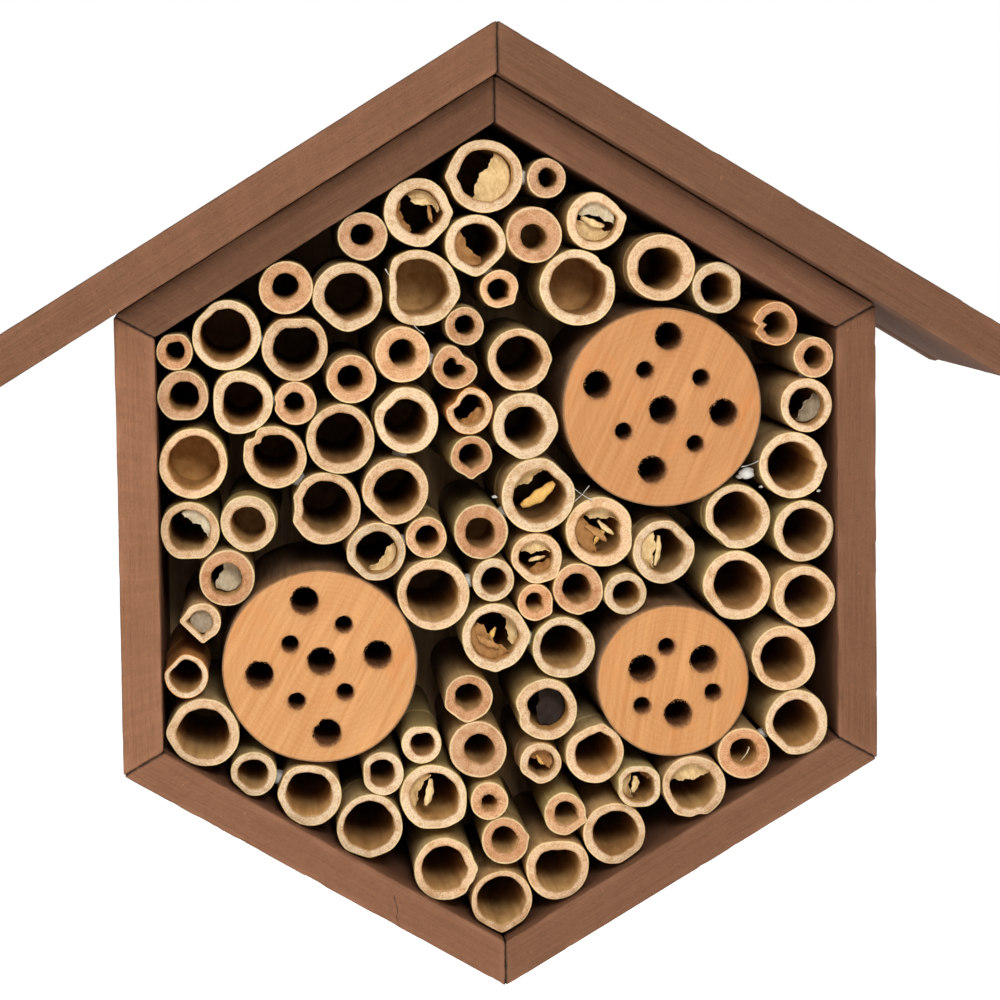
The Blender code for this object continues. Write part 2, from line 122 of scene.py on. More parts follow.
class Shading:
    # one node material, with short calls for the nodes that wood and cane need

    def __init__(self, name, roughness=0.7, specular=0.3):
        self.material = bpy.data.materials.new(name)
        self.material.use_nodes = True
        self.nodes = self.material.node_tree.nodes
        self.links = self.material.node_tree.links
        self.shader = self.nodes["Principled BSDF"]
        self.shader.inputs["Roughness"].default_value = roughness
        self.shader.inputs["Specular IOR Level"].default_value = specular

    def feed(self, socket, value):
        # a number, a colour or another node's output
        if isinstance(value, (int, float)):
            socket.default_value = value
        elif isinstance(value, tuple):
            socket.default_value = (*value, 1)
        else:
            self.wire(value, socket)

    def add(self, kind, **settings):
        node = self.nodes.new(kind)
        for key, value in settings.items():
            setattr(node, key, value)
        return node

    def wire(self, source, target):
        self.links.new(source, target)

    def place(self):
        return self.add("ShaderNodeTexCoord").outputs["Object"]

    def attribute(self, name, output="Vector"):
        return self.add("ShaderNodeAttribute", attribute_name=name).outputs[output]

    def stretch(self, vector, scale, offset=(0, 0, 0)):
        node = self.add("ShaderNodeMapping")
        node.inputs["Scale"].default_value = scale
        node.inputs["Location"].default_value = offset
        self.wire(vector, node.inputs["Vector"])
        return node.outputs["Vector"]

    def noise(self, vector, scale, detail=4, roughness=0.55, distortion=0.0):
        node = self.add("ShaderNodeTexNoise")
        node.inputs["Scale"].default_value = scale
        node.inputs["Detail"].default_value = detail
        node.inputs["Roughness"].default_value = roughness
        node.inputs["Distortion"].default_value = distortion
        self.wire(vector, node.inputs["Vector"])
        return node.outputs["Fac"]

    def cells(self, vector, scale, feature="F1"):
        node = self.add("ShaderNodeTexVoronoi", feature=feature)
        node.inputs["Scale"].default_value = scale
        self.wire(vector, node.inputs["Vector"])
        return node.outputs["Distance"]

    def ramp(self, value, *stops):
        # stops are (position, grey or colour)
        node = self.add("ShaderNodeValToRGB")
        band = node.color_ramp
        while len(band.elements) < len(stops):
            band.elements.new(0.5)
        for element, (position, colour) in zip(band.elements, stops):
            element.position = position
            grey = isinstance(colour, (int, float))
            element.color = (colour, colour, colour, 1) if grey else (*colour, 1)
        self.wire(value, node.inputs["Fac"])
        return node.outputs["Color"]

    def mix(self, share, first, second, blend="MIX"):
        node = self.add("ShaderNodeMix", data_type="RGBA", blend_type=blend)
        for socket, value in ((node.inputs[0], share), (node.inputs[6], first), (node.inputs[7], second)):
            self.feed(socket, value)
        return node.outputs[2]

    def layer(self, shade, driver, first, last, colour, blend="MIX"):
        # a colour laid over the shade, as strongly as the driver's two stops say
        return self.mix(self.ramp(driver, first, last), shade, colour, blend)

    # multiplies in a darker colour: stains, and in some places painted shade
    def stainAndShade(self, shade, driver, first, last, colour):
        return self.layer(shade, driver, first, last, colour, "MULTIPLY")

    def maths(self, operation, first, second=0.0):
        node = self.add("ShaderNodeMath", operation=operation)
        for socket, value in zip(node.inputs, (first, second)):
            self.feed(socket, value)
        return node.outputs[0]

    def bump(self, height, strength, distance, under=None):
        node = self.add("ShaderNodeBump")
        node.inputs["Strength"].default_value = strength
        node.inputs["Distance"].default_value = distance
        self.wire(height, node.inputs["Height"])
        if under is not None:
            self.wire(under, node.inputs["Normal"])
        return node.outputs["Normal"]

    def colour(self, value):
        self.wire(value, self.shader.inputs["Base Color"])

    def normal(self, value):
        self.wire(value, self.shader.inputs["Normal"])

    def rough(self, value):
        self.wire(value, self.shader.inputs["Roughness"])


# camera, light and floor

view = {
    "place": (-0.0705, -1.1458, 0.1042),
    "turn": (-3.862, -5.049, 0.74),  # yaw, pitch and roll in degrees
    "lens": 130.97,  # mm on a 36 mm sensor
}


def setCamera():
    data = bpy.data.cameras.new("camera")
    data.lens = view["lens"]
    data.sensor_width = 36
    data.clip_end = 20
    camera = addObject("camera", data)
    yaw, pitch, roll = (radians(a) for a in view["turn"])
    body = Matrix.Rotation(yaw, 4, "Z") @ Matrix.Rotation(pitch, 4, "X") @ Matrix.Rotation(roll, 4, "Y")
    camera.matrix_world = Matrix.Translation(view["place"]) @ body @ Matrix.Rotation(pi / 2, 4, "X")
    bpy.context.scene.camera = camera


studio = {
    "front": {"place": (0.02, -1.05, 0.40), "size": 0.30, "power": 7.4},
    "key": {"place": (-0.85, -1.30, 1.05), "size": 0.9, "power": 7.5},
    "low": {"place": (-0.05, -1.30, -0.10), "size": 1.0, "power": 2.0},
    "back": {"place": (0.3, 1.5, 0.9), "size": 1.5, "power": 9},
    "around": 0.30,  # strength of the even light from all sides
    "paper": 1.0,  # strength of the white that is seen behind
    "floorDrop": 0.30,  # the hotel hangs clear of the floor
    "floorGlow": 0.80,
}


def setStudio():
    for name in ("front", "key", "low", "back"):
        lamp = bpy.data.lights.new(name, "AREA")
        lamp.shape = "DISK"
        lamp.size = studio[name]["size"]
        lamp.energy = studio[name]["power"]
        light = addObject(name, lamp)
        light.location = studio[name]["place"]
        light.rotation_euler = (-Vector(light.location)).to_track_quat("-Z", "Y").to_euler()
    world = bpy.data.worlds.new("studio")
    bpy.context.scene.world = world
    world.use_nodes = True
    tree = world.node_tree
    paper = tree.nodes["Background"]
    paper.inputs["Color"].default_value = (1, 1, 1, 1)
    rays = tree.nodes.new("ShaderNodeLightPath")
    amount = tree.nodes.new("ShaderNodeMapRange")
    amount.inputs["To Min"].default_value = studio["around"]
    amount.inputs["To Max"].default_value = studio["paper"]
    tree.links.new(rays.outputs["Is Camera Ray"], amount.inputs["Value"])
    tree.links.new(amount.outputs["Result"], paper.inputs["Strength"])
    bpy.context.scene.view_settings.view_transform = "Standard"
    work = bmesh.new()
    bmesh.ops.create_grid(work, x_segments=1, y_segments=1, size=12)
    mesh = bpy.data.meshes.new("floor")
    work.to_mesh(mesh)
    work.free()
    floor = addObject("floor", mesh)
    floor.location = (0, 0, cadLow.z - studio["floorDrop"])
    pale = Shading("palePaper", roughness=0.9, specular=0.1)
    cloud = pale.noise(pale.place(), 1.5, detail=2)
    pale.colour(pale.mix(cloud, (0.88, 0.88, 0.88), (0.93, 0.93, 0.93)))
    pale.shader.inputs["Emission Color"].default_value = (1, 1, 1, 1)
    pale.shader.inputs["Emission Strength"].default_value = studio["floorGlow"]
    mesh.materials.append(pale.material)


setCamera()
setStudio()
print("camera, light and floor are set")


# stained boards

boards = {
    "step": 1.3,  # mm between mesh lines
    "edge": 0.7,  # mm that the sharp edges are rounded over
    "sawRough": 0.10,  # mm of saw texture
    "wave": 0.22,  # mm of slow unevenness
    "chip": 0.55,  # mm knocked off the edges in places
    "panelReach": 12,  # mm from the back, where the inner side meets the back panel
    "panelLip": 0.6,  # mm added there, to leave no open line round the panel
    "mitreLip": 0.16,  # mm added to each end, to close the mitres
    "plainStreaks": 0.35,  # strength of saw streaks where no other is given
    "seamWidth": 0.42,  # mm of dark raw wood beside a mitre
    # each board's stain colour with painted light in it: boards on the left lighter than those on the right
    # as painted light from the left, except the upper boards, which are darker as painted shadow under the
    # roof
    "tonesWithPaintedLight": {
        "frame_left": linear(134, 91, 64), "frame_right": linear(110, 73, 50),
        "frame_lower_left": linear(121, 81, 57), "frame_lower_right": linear(112, 75, 52),
        "frame_upper_left": linear(100, 67, 46), "frame_upper_right": linear(105, 70, 49),
        "roof_board_left": linear(113, 76, 53), "roof_board_right": linear(102, 68, 47),
    },
    "sawStreaks": {"frame_left": 1.0, "frame_upper_left": 0.8, "roof_board_left": 0.7},
}


def stainedWood(name, tone, streaks):
    wood = Shading(name, roughness=0.82, specular=0.22)
    place = wood.attribute("grainPlace")  # metres along, across and through the board
    slow = wood.noise(wood.stretch(place, (9, 70, 50)), 1, detail=3)
    grain = wood.noise(wood.stretch(place, (34, 1500, 1200)), 1, detail=6, roughness=0.66, distortion=0.8)
    pores = wood.noise(wood.stretch(place, (160, 3000, 2600)), 1, detail=3, roughness=0.7)
    grit = wood.noise(place, 1300, detail=4, roughness=0.75)
    fleck = wood.noise(wood.stretch(place, (1500, 260, 500)), 1, detail=3, roughness=0.6)
    saw = wood.noise(wood.stretch(place, (420, 55, 55)), 1, detail=4, roughness=0.6)
    dark = scaled(tone, 0.78)
    light = scaled(tone, 1.16)
    shade = wood.ramp(grain, (0.32, dark), (0.52, tone), (0.74, light))
    shade = wood.layer(shade, slow, (0.35, 0.0), (0.72, 0.45), scaled(tone, 0.82))
    shade = wood.layer(shade, saw, (0.44, 0.0), (0.66, 0.32 * streaks), scaled(tone, 1.35))
    shade = wood.layer(shade, pores, (0.30, 0.40), (0.46, 0.0), scaled(tone, 0.55))
    shade = wood.layer(shade, grit, (0.34, 0.50), (0.50, 0.0), scaled(tone, 0.62))
    shade = wood.layer(shade, fleck, (0.70, 0.0), (0.76, 0.65), scaled(tone, 2.3))
    worn = wood.attribute("wear", "Fac")
    bare = tuple(min(c * 1.45 + 0.015, 1) for c in tone)
    shade = wood.mix(wood.maths("MULTIPLY", worn, 0.45), shade, bare)
    seam = wood.attribute("seam", "Fac")  # raw dark wood along the mitres
    ragged = wood.noise(wood.stretch(place, (700, 700, 700)), 1, detail=4)
    dirt = wood.maths("MULTIPLY", seam, wood.ramp(ragged, (0.35, 0.25), (0.62, 1.0)))
    shade = wood.mix(dirt, shade, (0.042, 0.023, 0.015))
    wood.colour(shade)
    fine = wood.bump(grit, 0.5, 0.0004, wood.bump(saw, 0.5 * streaks, 0.0006))
    coarse = wood.bump(grain, 0.30 + 0.35 * streaks, 0.0008, fine)
    wood.normal(coarse)
    wood.rough(wood.ramp(grain, (0.3, 0.92), (0.7, 0.74)))
    return wood.material


def boardCorners(node):
    # the four sharp corners of a board seen from the front, from its four largest side faces
    found = []
    for face in nodes[node].data.polygons:
        normal = face.normal
        if abs(normal.y) > 0.1:
            continue
        line = face.area * Vector((normal.x, normal.z, normal.dot(face.center)))
        for side in found:
            if normal.x * side[2] + normal.z * side[3] > 0.999:
                side[0] += face.area
                side[1] += line
                break
        else:
            found.append([face.area, line, normal.x, normal.z])
    sides = sorted(found, key=lambda side: -side[0])[:4]
    lines = sorted((total / area for area, total, *_ in sides), key=lambda line: atan2(line.y, line.x))
    corners = []
    for first, second in zip(lines, lines[1:] + lines[:1]):
        cross = first.x * second.y - first.y * second.x
        corners.append(Vector(((first.z * second.y - first.y * second.z) / cross,
                               (first.x * second.z - first.z * second.x) / cross)))
    longest = max(range(4), key=lambda i: (corners[(i + 1) % 4] - corners[i]).length)
    a, b, c, d = (corners[(longest + i) % 4] for i in range(4))
    return a, b, d, c  # start and end of the long side, start and end of the other


def meshLines(length, step, edge):
    # positions along one side, closer together at its ends for the rounding
    inner = np.linspace(edge, length - edge, max(int(round((length - 2 * edge) / step)), 2) + 1)
    return np.concatenate([[0, edge * 0.35], inner, [length - edge * 0.35, length]])


def ruggedBoard(name, seamEnds):
    a, b, c, d = boardCorners(name)
    low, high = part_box(name)
    rand = Random(name)
    seed = Vector((rand.uniform(0, 90), rand.uniform(0, 90), rand.uniform(0, 90)))
    edge = boards["edge"]
    long = max((b - a).length, (d - c).length) / mm
    thick = abs((c - a).cross((b - a).normalized())) / mm
    deep = (high.y - low.y) / mm
    along = meshLines(long, boards["step"], edge)
    across = meshLines(thick, boards["step"] * 0.8, edge)
    depth = meshLines(deep, boards["step"], edge)
    sizes = (len(along), len(across), len(depth))
    streaks = boards["sawStreaks"].get(name, boards["plainStreaks"])
    index = {}
    verts, grainPlace, wear, seam = [], [], [], []

    def vertex(i, j, k):
        if (i, j, k) in index:
            return index[(i, j, k)]
        spot = Vector((along[i], across[j], depth[k]))
        size = Vector((long, thick, deep))
        core = Vector(min(max(spot[n], edge), size[n] - edge) for n in range(3))
        out = spot - core
        onEdge = sum(1 for n in range(3) if abs(out[n]) > 1e-6)
        normal = out.normalized()
        rounded = core + normal * edge if onEdge > 1 else spot
        stretched = Vector((spot.x / 14, spot.y / 0.9, spot.z / 0.9)) + seed
        saw = noise.noise(stretched) + 0.5 * noise.noise(stretched * 2.3)
        slow = noise.noise(Vector((spot.x / 45, spot.y / 14, spot.z / 30)) + seed)
        closeness = sorted(min(spot[n], size[n] - spot[n]) for n in range(3))
        nearEdge = exp(-(closeness[1] / 1.6) ** 2)
        knock = max(noise.noise(spot / 6 + seed * 1.7) + 0.35 * noise.noise(spot / 1.7 + seed) - 0.22, 0)
        lift = boards["sawRough"] * (0.5 + streaks) * saw + boards["wave"] * slow * 0.5
        lift -= boards["chip"] * nearEdge * knock * 2
        if deep - spot.z < boards["panelReach"] and spot.y > thick - 0.1:
            lift = max(lift, boards["panelLip"])
        if spot.x < 0.01 or spot.x > long - 0.01:
            lift = boards["mitreLip"]
        edgeFade = min(1, closeness[0] + 0.35) if onEdge > 1 else 1
        rounded = rounded + normal * lift * edgeFade
        s, t = rounded.x / long, rounded.y / thick
        point = a.lerp(b, s).lerp(c.lerp(d, s), t)
        verts.append((point.x, low.y + rounded.z * mm, point.y))
        grainPlace.append((spot.x * mm + seed.x, spot.y * mm + seed.y, spot.z * mm + seed.z))
        wear.append(nearEdge * max(0, min(1, 0.35 + 1.6 * noise.noise(spot / 9 + seed * 2.1))))
        toSeam = min([9.0] + ([spot.x] if seamEnds[0] else []) + ([long - spot.x] if seamEnds[1] else []))
        seam.append(exp(-(toSeam / boards["seamWidth"]) ** 2))
        index[(i, j, k)] = len(verts) - 1
        return index[(i, j, k)]

    faces = []
    for axis in range(3):
        first, second = (axis + 1) % 3, (axis + 2) % 3
        for side in (0, sizes[axis] - 1):
            for m in range(sizes[first] - 1):
                for n in range(sizes[second] - 1):
                    loop = []
                    for dm, dn in ((0, 0), (1, 0), (1, 1), (0, 1)):
                        spot = [0, 0, 0]
                        spot[axis], spot[first], spot[second] = side, m + dm, n + dn
                        loop.append(vertex(*spot))
                    faces.append(loop if side else loop[::-1])
    material = stainedWood("stain_" + name, boards["tonesWithPaintedLight"][name], streaks)
    board = makeObject(name + "_wood", verts, faces, [material])
    fixNormals(board.data)
    storeVector(board.data, "grainPlace", grainPlace)
    storeNumber(board.data, "wear", wear)
    storeNumber(board.data, "seam", seam)
    return settle(board, "stained_wood", name)


def fixNormals(mesh):
    work = bmesh.new()
    work.from_mesh(mesh)
    bmesh.ops.recalc_face_normals(work, faces=work.faces)
    work.to_mesh(mesh)
    work.free()


for boardName in boards["tonesWithPaintedLight"]:
    isRoof = boardName.startswith("roof")
    ends = boardCorners(boardName)
    ridgeFirst = abs(ends[0].x) < abs(ends[1].x)
    ruggedBoard(boardName, (ridgeFirst, not ridgeFirst) if isRoof else (True, True))
print("boards are sawn and stained")


# reading canes and log holes out of the solids

def levels(node):
    # the points of a CAD node, by their depth
    found = {}
    for v in nodes[node].data.vertices:
        found.setdefault(round(v.co.y, 5), set()).add((round(v.co.x, 6), round(v.co.z, 6)))
    return found


def clusters(points, reach):
    # groups of points that are linked by steps shorter than reach
    left = list(points)
    groups = []
    while left:
        group = [left.pop()]
        for member in group:
            near = [p for p in left if hypot(p[0] - member[0], p[1] - member[1]) < reach]
            group.extend(near)
            left = [p for p in left if p not in near]
        groups.append(group)
    return groups


def middleOf(points):
    return Vector((sum(p[0] for p in points) / len(points), sum(p[1] for p in points) / len(points)))


def readCanes(node):
    # number -> mouth, bore end, radii and depths of each cane in a CAD node
    byDepth = levels(node)
    numbers = [int(part) for part in node.split("_") if part.isdigit()]
    fronts = sorted(byDepth)[:len(numbers)]
    back = max(byDepth)
    found = {}
    for number, front in zip(numbers, fronts):
        mouth = middleOf(byDepth[front])
        spans = sorted((Vector(p) - mouth).length for p in byDepth[front])
        beadEnd = front + (0.016 if len(numbers) > 1 else 0.001)
        best = None
        for depth, points in byDepth.items():
            if depth < beadEnd or depth > back - 0.001:
                continue
            for group in clusters(points, 0.0042):
                away = (middleOf(group) - mouth).length
                if len(group) > 8 and away < 0.004 and (best is None or away < best[0]):
                    best = (away, middleOf(group), depth)
        _, floorMiddle, floor = best
        lean = (floorMiddle - mouth) / (floor - front)
        found[number] = {"mouth": mouth, "lean": lean, "front": front, "floor": floor, "back": back,
                         "outer": spans[-1], "bore": spans[0]}
    return found


def readHoles(node):
    # middle and radius of each hole in a log's face, and the log's own
    byDepth = levels(node)
    front = min(byDepth)
    holes = []
    low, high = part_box(node)
    middle = Vector(((low.x + high.x) / 2, (low.z + high.z) / 2))
    radius = (high.x - low.x) / 2
    inner = [p for p in byDepth[front] if (Vector(p) - middle).length < radius * 0.97]
    for points in clusters(inner, 0.0022):
        spot = middleOf(points)
        if len(points) < 9:
            continue  # a lone point of the face, not a hole
        holes.append((spot, max((Vector(p) - spot).length for p in points)))
    return {"middle": middle, "radius": radius, "front": front, "back": high.y, "holes": holes}


print(len(nodes), "CAD nodes are read")


# canes, numbered from the ridge down
# a feature is its kind, its angle seen from the front and its size in mm

canes = {
    "around": 72,  # mesh points round a cane
    "lip": 0.26,  # mm rounded off the cut edges
    "sawn": 0.10,  # mm of unevenness left by the saw
    "bodyStep": 7.0,  # mm between mesh rings along a cane
    "tear": ((4, 0.08), (11, 0.04), (27, 0.022)),  # waves and sizes of a torn edge
    "skinThickness": 0.14,  # mm
    "stripThickness": 0.16,  # mm
    "knotChance": 0.45,  # share of canes with a knot round them
    "frayDepth": 0.55,  # mm, the fibres of a frayed mouth
    "width": {"ridge": 8, "point": 13, "notch": 9, "dent": 17, "concave": 30},  # degrees
    "warmWall": 0.60,  # canes with a bore below this share are warm and thick
    "skin": (linear(206, 178, 130), linear(214, 176, 126), linear(194, 172, 118)),
    "orangeSkin": linear(206, 142, 80),
    "end": (linear(217, 190, 156), linear(213, 178, 140), linear(208, 183, 150)),
    "warmEnd": (linear(206, 162, 122), linear(198, 148, 108), linear(200, 158, 122)),
    "bore": (linear(206, 162, 100), linear(190, 146, 92), linear(214, 176, 118)),
    "orange": (15, 29, 62),
    "frayed": (2, 18, 19, 78),
    "features": {
        1: [("ridge", 180, 0.6), ("flat", 150, 0.2)], 3: [("ridge", 0, 0.6), ("flat", 315, 0.7)],
        5: [("flat", 315, 0.8), ("point", 270, 0.6)], 7: [("concave", 45, 0.9), ("ridge", 8, 0.6)],
        9: [("dent", 0, 0.6)], 11: [("flat", 225, 0.7), ("point", 270, 0.4)],
        12: [("concave", 178, 2.1), ("ridge", 132, 0.4), ("point", 350, 0.5)], 13: [("point", 315, 0.5)],
        14: [("notch", 45, 0.9), ("flat", 60, 0.3)], 15: [("notch", 186, 1.5)],
        17: [("flat", 135, 0.7)], 18: [("flat", 90, 1.1)],
        21: [("concave", 48, 1.9)], 22: [("ridge", 0, 0.35)], 23: [("dent", 90, 0.35)],
        26: [("flat", 270, 0.5)], 27: [("concave", 180, 1.2)], 28: [("notch", 180, 0.5)],
        29: [("flat", 135, 1.4), ("dent", 150, 0.6)], 30: [("flat", 135, 0.7)],
        31: [("point", 355, 0.3), ("flat", 235, 0.4)], 33: [("notch", 135, 1.2)],
        35: [("point", 270, 0.8)], 36: [("flat", 225, 0.7)], 37: [("dent", 45, 0.7)],
        38: [("ridge", 0, 0.6)], 39: [("flat", 225, 0.8), ("notch", 235, 0.3)],
        40: [("concave", 180, 1.0), ("ridge", 158, 0.5), ("ridge", 202, 0.5)],
        42: [("flat", 270, 0.7)], 44: [("dent", 0, 0.7)], 46: [("flat", 225, 0.5)],
        48: [("flat", 225, 0.6), ("point", 315, 0.5)], 49: [("flat", 45, 0.8)],
        53: [("notch", 290, 0.4)], 55: [("flat", 215, 0.7)], 56: [("flat", 235, 0.4)],
        57: [("point", 325, 0.5)], 58: [("point", 180, 0.9), ("point", 270, 0.8), ("flat", 225, 0.9)],
        59: [("point", 0, 0.6), ("ridge", 270, 0.5)], 61: [("flat", 200, 0.5)],
        62: [("flat", 135, 1.0)], 63: [("point", 200, 0.5), ("point", 265, 0.5)],
        64: [("flat", 190, 0.8), ("notch", 190, 0.4)], 65: [("point", 180, 0.7)],
        66: [("flat", 225, 0.7)], 67: [("flat", 90, 0.6)], 69: [("flat", 120, 0.7), ("ridge", 75, 0.5)],
        71: [("flat", 235, 0.6)], 72: [("flat", 180, 0.7)], 73: [("flat", 225, 0.7)],
        74: [("concave", 85, 0.7), ("point", 180, 0.5)],
        75: [("flat", 0, 0.4), ("flat", 90, 0.5), ("flat", 180, 0.4), ("flat", 270, 0.4)],
        76: [("notch", 280, 0.7), ("point", 235, 0.5)], 77: [("flat", 270, 0.6), ("point", 325, 0.6)],
        79: [("ridge", 340, 0.6), ("flat", 305, 0.6)], 80: [("flat", 250, 0.5), ("flat", 290, 0.5)],
        81: [("ridge", 10, 0.4)], 82: [("flat", 305, 0.6)], 83: [("ridge", 0, 0.6), ("notch", 325, 0.6)],
        84: [("concave", 90, 1.1)], 85: [("point", 275, 0.4), ("flat", 240, 0.5), ("flat", 300, 0.5)],
    },
    # skins left across the bore: side it covers, edge as a share of the bore, depth and curl in mm, colour
    "skins": {
        1: [(332, -0.08, 6.0, 1.6, "pale")],
        3: [(62, 0.50, 5.0, 2.6, "pale"), (200, 0.62, 6.0, 1.0, "husk")],
        5: [(215, 0.25, 6.0, 1.2, "husk")],
        7: [(75, 0.20, 4.0, 1.8, "white"), (250, 0.20, 5.5, 1.5, "pale")],
        24: [(325, 0.05, 7.0, 2.2, "grey")], 29: [(300, 0.3, 7.0, 1.0, "husk")],
        37: [(120, 0.62, 7.0, 1.5, "pale")], 42: [(48, 0.45, 3.0, 1.6, "white")],
        44: [(200, 0.35, 5.0, 2.0, "husk"), (80, 0.55, 6.0, 1.0, "pale")],
        46: [(315, 0.42, 6.0, 1.2, "pale")],
        48: [(90, 0.35, 4.0, 1.4, "pale"), (300, 0.45, 5.0, 1.2, "husk")],
        49: [(180, 0.42, 3.0, 1.8, "pale")],
        50: [(340, -0.45, 9.0, 1.0, "white")], 58: [(60, -1.0, 3.0, 0.6, "grey")],
        59: [(225, 0.10, 4.0, 2.4, "husk"), (20, 0.60, 7.0, 1.0, "pale")],
        # cane 64's near-black sheet is painted shade deep in its bore
        64: [(0, -0.3, 9.0, 0.6, "shadeBlack")], 71: [(60, 0.0, 5.0, 1.6, "husk")],
        75: [(185, 0.50, 5.0, 2.0, "pale"), (60, 0.66, 7.0, 1.2, "husk")],
        76: [(100, 0.30, 5.0, 1.6, "pale")], 77: [(158, 0.55, 5.0, 2.0, "pale")],
    },
    # curled strips: from and to as shares of the bore, width and depth in mm, colour
    "strips": {
        3: [((-0.25, 0.62), (0.55, 0.30), 1.9, 2.4, "pale"),
            ((0.42, 0.35), (0.72, -0.45), 1.1, 3.2, "husk")],
        7: [((-0.7, 0.15), (0.5, -0.2), 1.8, 3.0, "pale")],
        37: [((-0.62, -0.42), (0.66, 0.42), 3.3, 3.0, "gold")],
        44: [((-0.6, 0.25), (0.3, -0.45), 1.8, 3.0, "husk"), ((0.0, 0.5), (0.55, -0.2), 1.3, 2.4, "pale"),
             ((-0.2, -0.6), (0.35, 0.2), 1.4, 3.6, "gold")],
        48: [((-0.4, -0.3), (0.5, 0.15), 1.1, 3.0, "pale")],
        49: [((-0.45, -0.65), (-0.15, 0.7), 1.5, 1.6, "pale")],
        59: [((-0.7, 0.1), (0.15, -0.55), 2.0, 2.6, "husk"),
             ((-0.45, -0.35), (0.1, 0.3), 1.4, 3.4, "gold")],
        70: [((-0.1, -0.6), (0.3, 0.5), 0.35, 1.0, "white")],
        71: [((-0.3, 0.4), (0.4, -0.1), 1.0, 3.0, "gold")],
        75: [((-0.30, 0.55), (-0.25, -0.45), 2.0, 2.6, "pale")],
        77: [((-0.05, 0.72), (-0.38, -0.35), 2.1, 2.2, "pale")],
    },
    "skinColours": {
        "pale": linear(214, 188, 138), "husk": linear(168, 124, 74), "white": linear(196, 186, 160),
        # the near-black is painted shade, for the sheet deep in cane 64's bore
        "grey": linear(150, 138, 118), "shadeBlack": linear(42, 30, 22), "gold": linear(208, 166, 92),
    },
}


def caneSkinMaterial():
    skin = Shading("caneSkin", roughness=0.5, specular=0.4)
    place = skin.attribute("grainPlace")  # metres across, up and along the cane
    tone = skin.attribute("skinTone", "Color")
    fibres = skin.noise(skin.stretch(place, (1100, 1100, 16)), 1, detail=5, roughness=0.6)
    streaks = skin.noise(skin.stretch(place, (330, 330, 9)), 1, detail=3)
    blotch = skin.noise(skin.stretch(place, (95, 95, 40)), 1, detail=4, distortion=0.7)
    shade = skin.stainAndShade(tone, fibres, (0.34, 0.55), (0.60, 0.0), (0.74, 0.66, 0.50))
    shade = skin.stainAndShade(shade, streaks, (0.42, 0.0), (0.70, 0.55), (0.86, 0.84, 0.66))
    shade = skin.layer(shade, blotch, (0.54, 0.0), (0.72, 0.60), linear(150, 98, 50))
    # painted shade: the skin darker the deeper it lies among the canes
    deep = skin.maths("MULTIPLY", skin.attribute("deep", "Fac"), 14)
    shade = skin.stainAndShade(shade, deep, (0.04, 0.0), (0.75, 0.85), (0.36, 0.30, 0.22))
    skin.colour(shade)
    skin.normal(skin.bump(fibres, 0.35, 0.0005))
    skin.rough(skin.ramp(blotch, (0.35, 0.42), (0.7, 0.66)))
    return skin.material


def caneEndMaterial():
    end = Shading("caneEnd", roughness=0.86, specular=0.2)
    place = end.attribute("grainPlace")
    tone = end.attribute("endTone", "Color")
    share = end.attribute("share", "Fac")  # 0 at the outside of the wall, 1 at the bore
    bundles = end.cells(end.stretch(place, (1, 1, 0.1)), 1650)
    fine = end.noise(place, 1500, detail=5, roughness=0.75)
    smudge = end.noise(place, 260, detail=4, distortion=0.5)
    shade = end.stainAndShade(tone, bundles, (0.12, 0.6), (0.40, 0.0), (0.58, 0.42, 0.28))
    shade = end.stainAndShade(shade, fine, (0.36, 0.5), (0.56, 0.0), (0.66, 0.52, 0.38))
    shade = end.stainAndShade(shade, smudge, (0.46, 0.0), (0.68, 0.75), (0.72, 0.56, 0.40))
    shade = end.layer(shade, share, (0.02, 0.55), (0.15, 0.0), linear(232, 214, 172))
    shade = end.layer(shade, share, (0.84, 0.0), (1.0, 0.55), linear(150, 106, 66))
    end.colour(shade)
    end.normal(end.bump(bundles, 0.6, 0.0004, end.bump(fine, 0.8, 0.0005)))
    return end.material


def caneBoreMaterial():
    bore = Shading("caneBore", roughness=0.8, specular=0.2)
    place = bore.attribute("grainPlace")
    tone = bore.attribute("boreTone", "Color")
    deep = bore.attribute("deep", "Fac")
    streaks = bore.noise(bore.stretch(place, (420, 420, 14)), 1, detail=5, roughness=0.6)
    blotch = bore.noise(bore.stretch(place, (160, 160, 60)), 1, detail=4)
    shade = bore.stainAndShade(tone, streaks, (0.36, 0.6), (0.62, 0.0), (0.60, 0.50, 0.38))
    shade = bore.stainAndShade(shade, blotch, (0.50, 0.0), (0.72, 0.6), (0.55, 0.42, 0.30))
    # painted shade: the bore darker the deeper it goes
    shade = bore.stainAndShade(shade, bore.maths("MULTIPLY", deep, 12), (0.05, 0.0), (0.9, 0.7), (0.50, 0.38, 0.27))
    bore.colour(shade)
    bore.normal(bore.bump(streaks, 0.4, 0.0005))
    return bore.material


def skinMaterial():
    leaf = Shading("innerSkin", roughness=0.7, specular=0.25)
    place = leaf.attribute("grainPlace")
    tone = leaf.attribute("leafTone", "Color")
    veins = leaf.noise(leaf.stretch(place, (1500, 500, 500)), 1, detail=5, roughness=0.65, distortion=0.8)
    cloud = leaf.noise(place, 420, detail=4)
    shade = leaf.stainAndShade(tone, veins, (0.38, 0.6), (0.60, 0.0), (0.66, 0.54, 0.40))
    shade = leaf.stainAndShade(shade, cloud, (0.48, 0.0), (0.72, 0.5), (0.62, 0.50, 0.36))
    leaf.colour(shade)
    leaf.normal(leaf.bump(veins, 0.5, 0.0004))
    return leaf.material


caneMaterials = [caneSkinMaterial(), caneEndMaterial(), caneBoreMaterial(), skinMaterial()]


